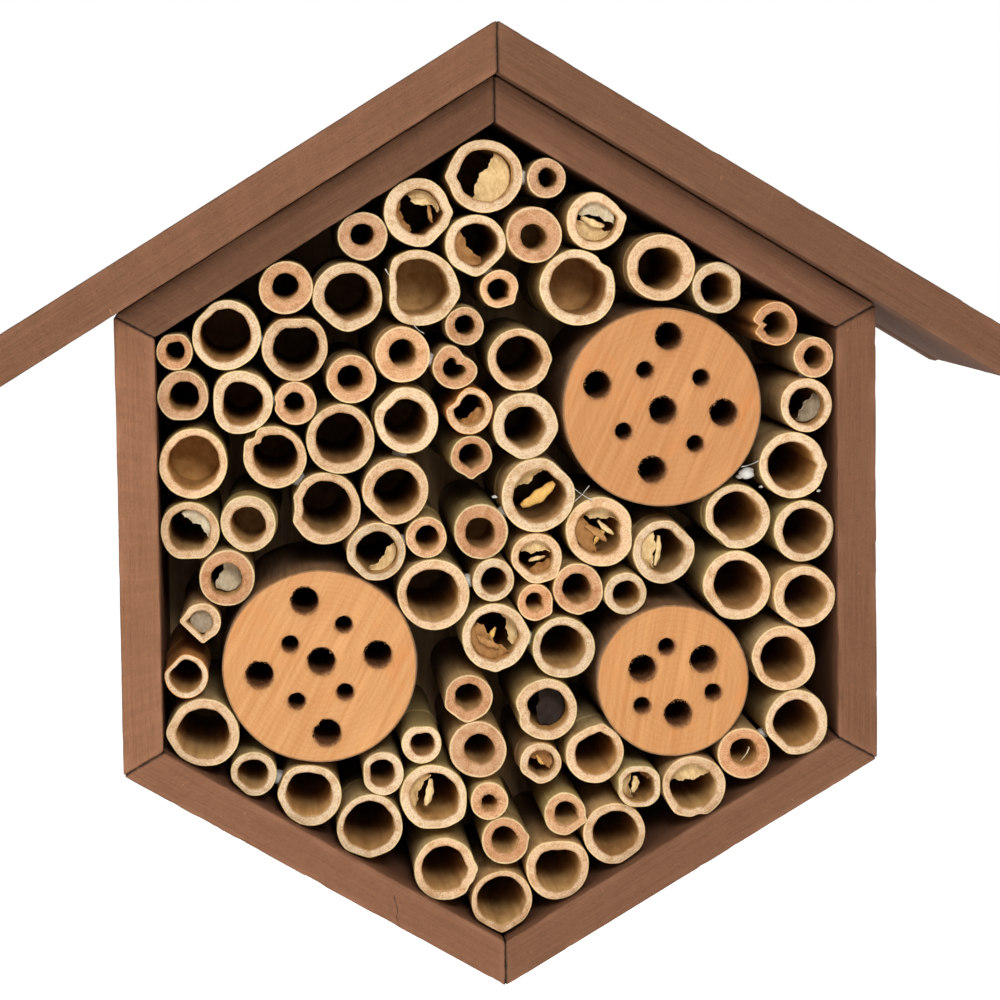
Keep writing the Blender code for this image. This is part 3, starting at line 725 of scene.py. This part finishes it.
def caneOutline(number, radius, turn, rand):
    # distance from the middle to the outside, in mm, for every angle
    out = np.full_like(turn, radius)
    for waves, amount in ((2, 0.020), (3, 0.011), (5, 0.005), (9, 0.003)):
        out *= 1 + amount * rand.uniform(0.4, 1.2) * np.cos(waves * turn + rand.uniform(0, 2 * pi))
    for kind, angle, size in canes["features"].get(number, []):
        away = (turn - radians(angle) + pi) % (2 * pi) - pi
        if kind == "flat":
            limit = (radius - size) / np.maximum(np.cos(away), 0.3)
            out = -np.log(np.exp(-5 * (out - radius)) + np.exp(-5 * (limit - radius))) / 5 + radius
            continue
        width = radians(canes["width"][kind])
        if kind in ("ridge", "point"):
            out += size * np.exp(-(away / width) ** 2)
            out -= 0.25 * size * np.exp(-((np.abs(away) - 2.3 * width) / width) ** 2)
        else:
            out -= size * np.exp(-(away / width) ** 2)
            out += 0.22 * size * np.exp(-((np.abs(away) - 2.0 * width) / (0.8 * width)) ** 2)
    return out


def thinSheet(grid, thickness):
    # a closed thin sheet round a grid of points: vertices and faces
    grid = np.asarray(grid, float)
    rows, columns = grid.shape[:2]
    across = np.gradient(grid, axis=0)
    along = np.gradient(grid, axis=1)
    normal = np.cross(across, along)
    normal /= np.maximum(np.linalg.norm(normal, axis=2, keepdims=True), 1e-9)
    verts = np.concatenate([(grid + normal * thickness / 2).reshape(-1, 3),
                            (grid - normal * thickness / 2).reshape(-1, 3)])
    under = rows * columns
    faces = []
    for i in range(rows - 1):
        for j in range(columns - 1):
            a, b = i * columns + j, (i + 1) * columns + j
            c, d = b + 1, a + 1
            faces += [(a, b, c, d), (d + under, c + under, b + under, a + under)]
    rim = ([(0, j) for j in range(columns)] + [(i, columns - 1) for i in range(1, rows)]
           + [(rows - 1, j) for j in range(columns - 2, -1, -1)] + [(i, 0) for i in range(rows - 2, 0, -1)])
    rim = [i * columns + j for i, j in rim]
    for a, b in zip(rim, rim[1:] + rim[:1]):
        faces.append((a, a + under, b + under, b))
    return verts, faces


def boreSheet(bore, side, edge, depth, curl, rand):
    # a torn skin over one side of a bore of this radius, in mm: x, depth, z
    steps, ribs = 15, 22
    reach = sqrt(max(1 - max(edge, -0.97) ** 2, 0.04)) if edge > 0 else 1
    phases = [rand.uniform(0, 6.3) for _ in range(6)]
    grid = []
    for q in np.linspace(-0.97 * reach, 0.97 * reach, ribs):
        wall = sqrt(max(1 - q * q, 0)) * 1.01
        torn = sum(size * sin(waves * q + phases[n]) for n, (waves, size) in enumerate(canes["tear"]))
        inner = min(edge + torn if edge > -0.95 else -wall, wall - 0.05)
        row = []
        for k in range(steps):
            s = k / (steps - 1)
            p = wall + (inner - wall) * s
            lift = -curl * s ** 3 * (0.7 + 0.5 * sin(7 * q + phases[3]))
            ripple = 0.22 * sin(9 * p + phases[4]) * sin(8 * q + phases[5])
            turn = radians(side)
            row.append((bore * (p * cos(turn) - q * sin(turn)), depth + lift + ripple + 0.8 * q,
                        bore * (p * sin(turn) + q * cos(turn))))
        grid.append(row)
    return thinSheet(grid, canes["skinThickness"])


def boreStrip(bore, start, end, width, depth, rand):
    # a curled strip of torn skin between two spots in a bore
    start, end = Vector(start) * bore, Vector(end) * bore
    side = Vector((-(end - start).y, (end - start).x)).normalized()
    phases = [rand.uniform(0, 6.3) for _ in range(3)]
    grid = []
    for s in np.linspace(0, 1, 16):
        middle = start.lerp(end, s) + side * 0.5 * sin(3 * s + phases[0])
        half = width / 2 * (0.25 + 0.85 * sin(pi * min(max(s, 0.04), 0.96)) ** 0.7)
        row = []
        for t in np.linspace(-1, 1, 7):
            spot = middle + side * half * t * (1 + 0.12 * sin(17 * s + phases[1]))
            lift = -1.1 * sin(pi * s) + 0.35 * width * t * t * 0.5 + 0.5 * t * sin(4 * s + phases[2])
            row.append((spot.x, depth + lift, spot.y))
        grid.append(row)
    return thinSheet(grid, canes["stripThickness"])


def makeCane(number, cane, node):
    rand = Random(1000 + number)
    around = canes["around"]
    turn = np.arange(around) * 2 * pi / around
    radius, bore = cane["outer"] / mm, cane["bore"] / mm
    length, floor = (cane["back"] - cane["front"]) / mm, (cane["floor"] - cane["front"]) / mm
    out = caneOutline(number, radius, turn, rand)
    wall = (radius - bore) * (1 + 0.13 * np.cos(turn + rand.uniform(0, 6.3)))
    inside = bore + 0.78 * (out - radius) + (radius - bore - wall)
    inside *= (1 + 0.012 * np.cos(4 * turn + rand.uniform(0, 6.3))
               + 0.008 * np.cos(11 * turn + rand.uniform(0, 6.3)))
    lip = canes["lip"]
    knots = []
    if rand.random() < canes["knotChance"]:
        knots.append(rand.uniform(9, min(45, length * 0.6)))
    rings, bands, shares, depths = [], [], [], []

    def ring(distances, depth, band, share=0.0):
        rings.append(np.stack([distances * np.cos(turn), np.broadcast_to(depth, turn.shape),
                               distances * np.sin(turn)], axis=1))
        bands.append(band)
        shares.append(share)
        depths.append(float(np.mean(depth)))

    stops = [0.32, 0.9, 2.4, 5.0] + list(np.arange(9, length - 1, canes["bodyStep"])) + [length]
    stops += [k + d for k in knots for d in (-2.4, -1.2, -0.5, 0, 0.5, 1.2, 2.4)]
    stops = sorted((s for s in set(stops) if s <= length), reverse=True)
    swell = [rand.uniform(0, 6.3) for _ in range(3)]
    ring(out * 0.5, length, 0)
    for depth in stops:
        grow = 1 + 0.010 * sin(depth / 17 + swell[0]) * min(depth / 10, 1)
        knot = sum(0.42 * exp(-((depth - k) / 0.75) ** 2) - 0.28 * exp(-((depth - k - 1.9) / 1.1) ** 2)
                   for k in knots)  # a raised ring with a hollow behind it
        faded = out + (radius - out) * 0.35 * min(depth / 30, 1)
        ring(faded * grow + knot, depth, 0)
    fray = canes["frayDepth"] if number in canes["frayed"] else 0.0
    rough = canes["sawn"] * (np.sin(turn * 3 + swell[1]) + 0.6 * np.sin(turn * 11 + swell[2]))
    teeth = fray * np.array([rand.uniform(-1, 1) for _ in turn])
    tilt = rand.uniform(-0.25, 0.25) * np.cos(turn + swell[0])
    ring(out - lip * 0.35, 0.10 + rough * 0.4 + tilt, 0)
    grit = np.array([[rand.uniform(-1, 1) for _ in turn] for _ in range(4)])
    for row, share in enumerate((0.0, 0.34, 0.67, 1.0)):
        across = (out - lip) * (1 - share) + (inside + lip * 0.8 + np.abs(teeth) * 0.2) * share
        ring(across, rough + tilt + 0.045 * grit[row] + teeth * (0.25 + 0.5 * share), 1, share)
    ring(inside + lip * 0.15 - np.abs(teeth) * 0.55, 0.25 + rough * 0.5 + tilt, 1, 1.0)
    steps = [0.8, 1.8, 3.4, 5.5, 8.5, 12] + list(np.arange(17, floor - 2, 7))
    for depth in [s for s in steps if s < floor - 0.9] + [floor - 0.7]:
        uneven = 1 + 0.012 * np.sin(depth * 0.6 + 2 * turn + swell[1])
        ring(inside * uneven - 0.05 * min(depth, 1), depth, 2)
    for share, sink in ((0.93, 0.15), (0.72, -0.12), (0.5, 0.12), (0.28, -0.08), (0.1, 0.05)):
        ring(inside * share, floor + sink, 2)
    count = len(rings)
    points = np.concatenate(rings)
    deep = np.maximum(points[:, 1], 0)
    mouth, lean = cane["mouth"] / mm, cane["lean"]
    verts = np.stack([points[:, 0] + (mouth.x + lean.x * deep), points[:, 1] + cane["front"] / mm,
                      points[:, 2] + (mouth.y + lean.y * deep)], axis=1)
    grain = np.stack([points[:, 0], points[:, 2], points[:, 1]], axis=1)
    faces, slots = [], []
    for r in range(count - 1):
        if bands[r] == 0 or bands[r + 1] == 0:
            band = 0  # skin
        else:
            band = bands[r + 1]  # sawn end or bore
        for i in range(around):
            j = (i + 1) % around
            faces.append((r * around + i, r * around + j, (r + 1) * around + j, (r + 1) * around + i))
            slots.append(band)
    faces.append(tuple(range(around - 1, -1, -1)))
    slots.append(0)
    faces.append(tuple((count - 1) * around + i for i in range(around)))
    slots.append(2)
    share = np.repeat(shares, around)
    leafTone = np.tile((*canes["skinColours"]["pale"], 1), (len(verts), 1))
    extra = [(boreSheet(bore * 0.985, side, edge, depth, curl, rand), colour)
             for side, edge, depth, curl, colour in canes["skins"].get(number, [])]
    extra += [(boreStrip(bore, start, end, width, depth, rand), colour)
              for start, end, width, depth, colour in canes["strips"].get(number, [])]
    for (sheetVerts, sheetFaces), colour in extra:
        base = len(verts)
        placed = sheetVerts + (mouth.x, cane["front"] / mm, mouth.y)
        verts = np.concatenate([verts, placed])
        grain = np.concatenate([grain, sheetVerts])
        share = np.concatenate([share, np.zeros(len(placed))])
        deep = np.concatenate([deep, np.maximum(sheetVerts[:, 1], 0)])
        leafTone = np.concatenate([leafTone, np.tile((*canes["skinColours"][colour], 1), (len(placed), 1))])
        faces += [tuple(base + v for v in face) for face in sheetFaces]
        slots += [3] * len(sheetFaces)
    piece = makeObject("cane_%02d_reed" % number, verts * mm, faces, caneMaterials, slots)
    mesh = piece.data
    fixNormals(mesh)
    warm = bore / radius < canes["warmWall"]
    vary = rand.uniform(0.88, 1.10)

    def toneOf(choices):
        first, second = rand.choice(choices), rand.choice(choices)
        mixed = rand.random()
        return [min((a * mixed + b * (1 - mixed)) * vary, 1) for a, b in zip(first, second)] + [1]

    skinTone = [*canes["orangeSkin"], 1] if number in canes["orange"] else toneOf(canes["skin"])
    endTone = toneOf(canes["warmEnd"] if warm else canes["end"])
    boreTone = toneOf(canes["bore"])
    for name, tone in (("skinTone", skinTone), ("endTone", endTone), ("boreTone", boreTone)):
        storeColour(mesh, name, np.tile(tone, (len(verts), 1)))
    storeColour(mesh, "leafTone", leafTone)
    offset = np.array([rand.uniform(0, 9) for _ in range(3)])
    storeVector(mesh, "grainPlace", grain * mm + offset)
    storeNumber(mesh, "share", share)
    storeNumber(mesh, "deep", deep * mm)
    return settle(piece, "cane", node)


for node in sorted(n for n in nodes if n.startswith("cane")):
    for number, cane in readCanes(node).items():
        makeCane(number, cane, node)
print("canes are cut and packed")


# drilled slices of log

logs = {
    "step": 1.5,  # mm between points on the sawn face
    "edge": 0.5,  # mm rounded at the face's edge
    "fringe": (0, 0, 0.35, 0.75),  # mm that torn fibres reach into a large hole
    "torn": 0.24,  # mm of raggedness round the drilled holes
    "sawMarks": 0.05,  # mm of saw lines across the face
    "face": {"log_upper_right": linear(174, 124, 79), "log_lower_left": linear(185, 136, 88),
             "log_lower_right": linear(180, 130, 82)},
    "side": linear(150, 112, 76),
    "sawTurn": {"log_upper_right": 66, "log_lower_left": 62, "log_lower_right": 80},  # degrees
}


def logFaceMaterial(name):
    face = Shading(name + "_face", roughness=0.78, specular=0.25)
    tone = logs["face"][name]
    place = face.attribute("grainPlace")  # metres across, up and along from the pith
    radial = face.add("ShaderNodeVectorMath", operation="LENGTH")
    flat = face.stretch(place, (1, 1, 0))
    bend = face.noise(flat, 60, detail=3)
    face.wire(flat, radial.inputs[0])
    growth = face.maths("ADD", face.maths("MULTIPLY", radial.outputs["Value"], 620),
                        face.maths("MULTIPLY", bend, 3.2))
    rings = face.maths("FRACT", growth)
    saw = face.add("ShaderNodeMapping")
    saw.inputs["Rotation"].default_value = (0, 0, -radians(logs["sawTurn"][name]))
    face.wire(place, saw.inputs["Vector"])
    marks = face.noise(face.stretch(saw.outputs["Vector"], (24, 620, 30)), 1, detail=5, roughness=0.66)
    fine = face.noise(place, 2400, detail=4, roughness=0.7)
    cloud = face.noise(flat, 75, detail=4, distortion=0.8)
    ringed = face.ramp(rings, (0.0, 0.22), (0.55, 0.0), (0.92, 0.08), (1.0, 0.22))
    shade = face.mix(ringed, tone, (0.80, 0.62, 0.44), "MULTIPLY")
    shade = face.stainAndShade(shade, marks, (0.36, 0.75), (0.58, 0.0), (0.86, 0.72, 0.56))
    pale = face.noise(face.stretch(saw.outputs["Vector"], (18, 260, 30)), 1, detail=3, distortion=0.3)
    shade = face.layer(shade, pale, (0.52, 0.0), (0.72, 0.6), scaled(tone, 1.28))
    shade = face.layer(shade, cloud, (0.54, 0.0), (0.72, 0.38), linear(190, 118, 60))
    shade = face.stainAndShade(shade, fine, (0.34, 0.40), (0.50, 0.0), (0.72, 0.54, 0.38))
    shade = face.layer(shade, face.attribute("edge", "Fac"), (0.4, 0.0), (1.0, 0.6), linear(176, 118, 70))
    face.colour(shade)
    face.normal(face.bump(marks, 0.35, 0.0005, face.bump(fine, 0.3, 0.0002)))
    return face.material


def logSideMaterial(name):
    side = Shading(name + "_side", roughness=0.85, specular=0.2)
    place = side.attribute("grainPlace")
    fibres = side.noise(side.stretch(place, (700, 700, 14)), 1, detail=6, roughness=0.65)
    blotch = side.noise(side.stretch(place, (60, 60, 22)), 1, detail=5, distortion=0.6)
    shade = side.stainAndShade(logs["side"], fibres, (0.36, 0.7), (0.62, 0.0), (0.55, 0.46, 0.38))
    shade = side.layer(shade, blotch, (0.46, 0.0), (0.70, 0.7), linear(112, 94, 76))
    side.colour(shade)
    side.normal(side.bump(fibres, 0.6, 0.0008))
    return side.material


def drilledMaterial(name):
    hole = Shading(name + "_hole", roughness=0.9, specular=0.1)
    place = hole.attribute("grainPlace")
    fibres = hole.noise(hole.stretch(place, (900, 900, 260)), 1, detail=5, roughness=0.7)
    shade = hole.layer(linear(150, 100, 62), fibres, (0.36, 0.0), (0.66, 0.8), linear(206, 156, 108))
    # painted shade: each hole darker the deeper it goes
    deep = hole.maths("MULTIPLY", hole.attribute("deep", "Fac"), 60)
    shade = hole.stainAndShade(shade, deep, (0.04, 0.0), (0.5, 0.7), (0.35, 0.24, 0.16))
    hole.colour(shade)
    hole.normal(hole.bump(fibres, 0.7, 0.0006))
    return hole.material


def makeLog(node):
    rand = Random(node)
    log = readHoles(node)
    middle, radius, front = log["middle"] / mm, log["radius"] / mm, log["front"] / mm
    length = log["back"] / mm - front
    edge = logs["edge"]
    waves = [(n, rand.uniform(0.3, 1), rand.uniform(0, 6.3)) for n in (2, 3, 5, 7, 12)]

    def rimAt(angle):
        return radius * (1 + sum(0.0045 * a * sin(n * angle + p) / sqrt(n) for n, a, p in waves)) - 0.1

    turn = np.arange(200) * 2 * pi / 200
    rim = np.array([rimAt(a) for a in turn])
    points, edges = [], []

    def loop(centre, distances, angles):
        base = len(points)
        points.extend(Vector((centre[0] + d * cos(a), centre[1] + d * sin(a)))
                      for d, a in zip(distances, angles))
        edges.extend((base + i, base + (i + 1) % len(angles)) for i in range(len(angles)))
        return list(range(base, base + len(angles)))

    outer = loop((0, 0), rim - edge, turn)
    holes = []
    for spot, size in log["holes"]:
        centre = Vector(spot) / mm - middle
        size = size / mm
        count = 96 if size > 3 else 44
        angles = np.arange(count) * 2 * pi / count
        top = rand.uniform(1.7, 2.6)  # where the drill tore the fibres up
        fringe = np.array([rand.choice(logs["fringe"]) if size > 3 and abs(t - top) < 1.1 else 0
                           for t in angles])
        tears = [(n, rand.uniform(0.2, 1), rand.uniform(0, 6.3)) for n in (2, 3, 5, 8, 13)]
        tearing = [sum(logs["torn"] * a * sin(n * t + p) / sqrt(n) for n, a, p in tears)
                   + rand.uniform(-0.08, 0.06) for t in angles]
        ragged = size + 0.34 + np.array(tearing) - fringe
        holes.append((centre, size, angles, ragged, loop(centre, ragged, angles)))
    step = logs["step"]
    for i in range(-30, 31):
        for j in range(-30, 31):
            spot = Vector(((i + 0.5 * (j % 2)) * step, j * step * 0.866))
            spot += Vector((rand.uniform(-0.3, 0.3), rand.uniform(-0.3, 0.3)))
            if spot.length > radius - edge - 0.9 or any((spot - h[0]).length < h[1] + 1.2 for h in holes):
                continue
            points.append(spot)
    flatPoints, _, triangles, origins, *_ = delaunay_2d_cdt(points, edges, [], 0, 1e-6)
    back = {}
    for new, olds in enumerate(origins):
        for old in olds:
            back[old] = new
    holeLoops = [{back[v] for v in h[4]} for h in holes]
    kept = []
    for triangle in triangles:
        centre = sum((Vector(flatPoints[v]) for v in triangle), Vector((0, 0))) / 3
        angle = atan2(centre.y, centre.x)
        if centre.length > rimAt(angle) - edge + 0.02:
            continue
        if not any(loopSet.issuperset(triangle) for loopSet in holeLoops):
            kept.append(tuple(triangle))
    lines = radians(logs["sawTurn"][node])
    phase = [rand.uniform(0, 6.3) for _ in range(3)]

    def sawn(x, z):
        t = -x * sin(lines) + z * cos(lines)
        return logs["sawMarks"] * (sin(t * 2.1 + phase[0]) + 0.6 * sin(t * 5.3 + phase[1])) * 0.6

    verts = [(p[0], sawn(p[0], p[1]), p[1]) for p in flatPoints]
    faces, slots = list(kept), [0] * len(kept)
    deep, edging = [0.0] * len(verts), [0.0] * len(verts)
    for p in range(len(verts)):
        reach = hypot(verts[p][0], verts[p][2])
        edging[p] = max(0.0, 1 - (radius - reach) / 1.6)

    def band(first, second, slot):
        for k in range(len(first)):
            n = (k + 1) % len(first)
            faces.append((first[k], first[n], second[n], second[k]))
            slots.append(slot)

    def ring(centre, distances, angles, depth, deepness, edgeness):
        base = len(verts)
        verts.extend((centre[0] + d * cos(a), depth, centre[1] + d * sin(a))
                     for d, a in zip(distances, angles))
        deep.extend([deepness] * len(angles))
        edging.extend([edgeness] * len(angles))
        return list(range(base, base + len(angles)))

    last = [back[v] for v in outer]
    knotty = [rand.uniform(0, 6.3) for _ in range(4)]
    for depth in [0.18, 0.5, 1.5, 4] + list(np.arange(9, length - 1, 8)) + [length]:
        grow = (0.25 * np.sin(turn * 3 + depth / 14 + knotty[0])
                + 0.16 * np.sin(turn * 8 + depth / 9 + knotty[1]))
        shrink = edge * 0.35 if depth == 0.18 else 0.0
        new = ring((0, 0), rim - shrink + grow * min(depth / 6, 1), turn, depth, 0.0, 1.0)
        band(last, new, 1)
        last = new
    faces.append(tuple(last))
    slots.append(1)
    for centre, size, angles, ragged, loopIndex in holes:
        floor = drillDepth(node, (centre + middle) * mm, size * mm) / mm - front
        last = [back[v] for v in loopIndex]
        for depth in [0.25, 0.8, 2, 4] + list(np.arange(8, floor - 1.5, 6)) + [floor - 1.2]:
            share = smooth(0, 1.0, depth)
            jag = np.array([rand.uniform(-0.05, 0.05) for _ in angles]) * (0.4 + share)
            reach = ragged * (1 - share) + (size - 0.05) * share + jag
            new = ring(centre, reach, angles, depth, depth, 0.0)
            band(last, new, 0 if depth == 0.25 else 2)
            last = new
        new = ring(centre, np.full(len(angles), size * 0.3), angles, floor - 0.3, floor, 0.0)
        band(last, new, 2)
        faces.append(tuple(new))
        slots.append(2)
    world = [((x + middle.x) * mm, (y + front) * mm, (z + middle.y) * mm) for x, y, z in verts]
    materials = [logFaceMaterial(node), logSideMaterial(node), drilledMaterial(node)]
    piece = makeObject(node + "_slice", world, faces, materials, slots)
    fixNormals(piece.data)
    pith = (rand.uniform(-4, 4), rand.uniform(-4, 4))
    grain = [((x - pith[0]) * mm, (z - pith[1]) * mm, y * mm) for x, y, z in verts]
    storeVector(piece.data, "grainPlace", grain)
    storeNumber(piece.data, "deep", [d * mm for d in deep])
    storeNumber(piece.data, "edge", edging)
    return settle(piece, "log_wood", node)


def drillDepth(node, spot, size):
    # how far back the hole at this spot goes
    low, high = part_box(node)
    deepest = low.y
    for v in nodes[node].data.vertices:
        if v.co.y < high.y - 0.001 and hypot(v.co.x - spot[0], v.co.z - spot[1]) < size * 1.05:
            deepest = max(deepest, v.co.y)
    return deepest


for node in logs["face"]:
    makeLog(node)
print("logs are sliced and drilled")


# glue that holds the canes: blobs, smears and threads, at x, z and mm behind the box's front

glue = {
    "colour": linear(196, 194, 190),
    "blobs": [(73.0, 17.6, 6.5, 1.9), (71.0, 16.6, 7.2, 0.9), (77.2, 13.4, 7.5, 0.5),
              (-1.0, 12.0, 6.0, 0.6), (94.0, 12.0, 6.5, 0.5), (-1.5, -17.5, 5.0, 0.7),
              (6.0, -103.0, 9.0, 0.8)],  # the last number is the size, mm
    "threads": [((20.5, 15.5, 3.0), (27.5, 10.5, 3.6), 0.10), ((22.0, 10.5, 3.2), (26.5, 15.0, 4.2), 0.08),
                ((-32.0, 78.8, 2.4), (-29.5, 75.5, 3.2), 0.11),
                ((-24.0, 62.5, 2.2), (-21.0, 60.0, 2.8), 0.10),
                ((71.0, 19.5, 5.0), (77.0, 21.5, 6.0), 0.12)],
    "crackTone": (0.035, 0.018, 0.012),
    "crack": [((-32.3, -103.7), (-31.4, -107.6), 0.09), ((-31.4, -107.6), (-31.7, -110.0), 0.08),
              ((-31.7, -110.0), (-30.8, -112.7), 0.07)],
    "beadDepth": 12.5,  # mm behind the first mouth, where pairs are joined
    "beadBite": 1.3,  # mm that a bead reaches past each cane's surface
    "beadLength": 5.2,  # mm
}


def glueMaterial():
    wax = Shading("hotGlue", roughness=0.35, specular=0.5)
    place = wax.place()
    cloud = wax.noise(place, 500, detail=3)
    wax.colour(wax.mix(wax.ramp(cloud, (0.40, 0.0), (0.68, 0.8)), glue["colour"], linear(168, 164, 154)))
    wax.normal(wax.bump(wax.noise(place, 900, detail=2), 0.3, 0.0004))
    wax.shader.inputs["Subsurface Weight"].default_value = 0.15
    wax.shader.inputs["Subsurface Radius"].default_value = (0.002, 0.002, 0.0018)
    return wax.material


def addBlob(work, middle, sizes, rand):
    # a lumpy drop, set off from a ball by its own noise
    seed = Vector((rand.uniform(0, 50), rand.uniform(0, 50), rand.uniform(0, 50)))
    made = bmesh.ops.create_icosphere(work, subdivisions=3, radius=1)
    for v in made["verts"]:
        lump = 1 + 0.36 * noise.noise(v.co * 0.9 + seed) + 0.07 * noise.noise(v.co * 2.6 + seed)
        v.co = Vector(v.co[n] * sizes[n] for n in range(3)) * lump + middle


def addThread(work, start, end, radius):
    # a drawn thread that sags and thins towards its middle
    start, end = Vector(start), Vector(end)
    rings = []
    along = (end - start).normalized()
    side = along.orthogonal().normalized()
    up = along.cross(side)
    for k in range(15):
        s = k / 14
        middle = start.lerp(end, s) + Vector((0, 0, -0.35 * sin(pi * s)))
        thin = radius * (1.7 - 1.1 * sin(pi * s)) * (0.35 if k in (0, 14) else 1)
        rings.append([work.verts.new(middle + (side * cos(a) + up * sin(a)) * thin)
                      for a in (n * pi / 4 for n in range(8))])
    for first, second in zip(rings, rings[1:]):
        for n in range(8):
            work.faces.new((first[n], first[(n + 1) % 8], second[(n + 1) % 8], second[n]))
    work.faces.new(rings[0][::-1])
    work.faces.new(rings[-1])


def gluePiece(name, fill):
    work = bmesh.new()
    fill(work)
    for v in work.verts:
        v.co *= mm
    bmesh.ops.recalc_face_normals(work, faces=work.faces)
    mesh = bpy.data.meshes.new(name)
    work.to_mesh(mesh)
    work.free()
    mesh.materials.append(glueStuff)
    mesh.shade_smooth()
    return settle(addObject(name, mesh), "glue")


glueStuff = glueMaterial()
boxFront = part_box("frame_left")[0].y / mm


def fillBlobs(work):
    rand = Random(71)
    for x, z, depth, size in glue["blobs"]:
        addBlob(work, Vector((x, boxFront + depth, z)), (size * 1.25, size * 1.4, size * 0.8), rand)


def fillThreads(work):
    for (x, z, depth), (x2, z2, depth2), radius in glue["threads"]:
        addThread(work, (x, boxFront + depth, z), (x2, boxFront + depth2, z2), radius)


def fillBeads(work):
    rand = Random(72)
    for node in sorted(n for n in nodes if n.startswith("cane_pair")):
        first, second = readCanes(node).values()
        depth = glue["beadDepth"]
        spots = [(c["mouth"] / mm + c["lean"] * depth) for c in (first, second)]
        away = (spots[1] - spots[0]).length
        gap = away - (first["outer"] + second["outer"]) / mm
        middle = spots[0].lerp(spots[1], (first["outer"] / mm + gap / 2) / away)
        half = max(gap, 0) / 2 + glue["beadBite"]
        addBlob(work, Vector((middle.x, first["front"] / mm + depth, middle.y)),
                (half, glue["beadLength"] / 2, half), rand)


def fillCrack(work):
    for (x, z), (x2, z2), radius in glue["crack"]:
        addThread(work, (x, boxFront - 0.02, z), (x2, boxFront - 0.02, z2), radius)


gluePiece("glue_blobs", fillBlobs)
gluePiece("glue_threads", fillThreads)
gluePiece("glue_beads", fillBeads)
# the lower left board has a hairline split, drawn as a near-black thread that is painted shade in the split
crack = gluePiece("lower_left_crack", fillCrack)
crack.data.materials[0] = stainedWood("paintedCrackShade", glue["crackTone"], 0.3)
print("glue is set")


# the back panel and its hanger keep their own shapes

backParts = {
    "panel": linear(196, 164, 122),
    "panelDark": linear(148, 112, 76),
    "zinc": linear(186, 188, 190),
    "screw": linear(160, 156, 148),
}


def panelMaterial():
    ply = Shading("paleSoftwood", roughness=0.8, specular=0.2)
    place = ply.place()
    grain = ply.noise(ply.stretch(place, (420, 60, 9)), 1, detail=6, roughness=0.6, distortion=0.5)
    bands = ply.noise(ply.stretch(place, (95, 20, 3)), 1, detail=4, distortion=1.2)
    pores = ply.noise(ply.stretch(place, (2600, 600, 130)), 1, detail=3)
    shade = ply.mix(ply.ramp(bands, (0.40, 0.0), (0.62, 0.75)), backParts["panel"], backParts["panelDark"])
    shade = ply.stainAndShade(shade, grain, (0.40, 0.55), (0.60, 0.0), (0.80, 0.66, 0.50))
    shade = ply.stainAndShade(shade, pores, (0.34, 0.4), (0.48, 0.0), (0.66, 0.50, 0.36))
    ply.colour(shade)
    ply.normal(ply.bump(grain, 0.35, 0.0006, ply.bump(pores, 0.3, 0.0003)))
    return ply.material


def metalMaterial(name, tone, brushed):
    metal = Shading(name, roughness=0.4, specular=0.5)
    metal.shader.inputs["Metallic"].default_value = 1.0
    place = metal.place()
    drawn = metal.noise(metal.stretch(place, brushed), 1, detail=4, roughness=0.6)
    spangle = metal.cells(place, 700, "F1")
    dull = metal.noise(place, 240, detail=4)
    shade = metal.layer(tone, spangle, (0.1, 0.35), (0.8, 0.0), scaled(tone, 0.72))
    shade = metal.layer(shade, dull, (0.52, 0.0), (0.72, 0.6), linear(128, 118, 104))
    metal.colour(shade)
    metal.rough(metal.ramp(drawn, (0.3, 0.32), (0.7, 0.58)))
    metal.normal(metal.bump(drawn, 0.2, 0.0002))
    return metal.material


def refinish(name, material):
    for spot in nodes[name].material_slots:
        spot.material = material


refinish("back_panel", panelMaterial())
refinish("keyhole_plate", metalMaterial("zincPlate", backParts["zinc"], (2400, 2400, 60)))
for name in ("plate_screw_upper", "plate_screw_lower"):
    refinish(name, metalMaterial("zincScrew", backParts["screw"], (900, 900, 900)))
print("back panel and hanger are finished")
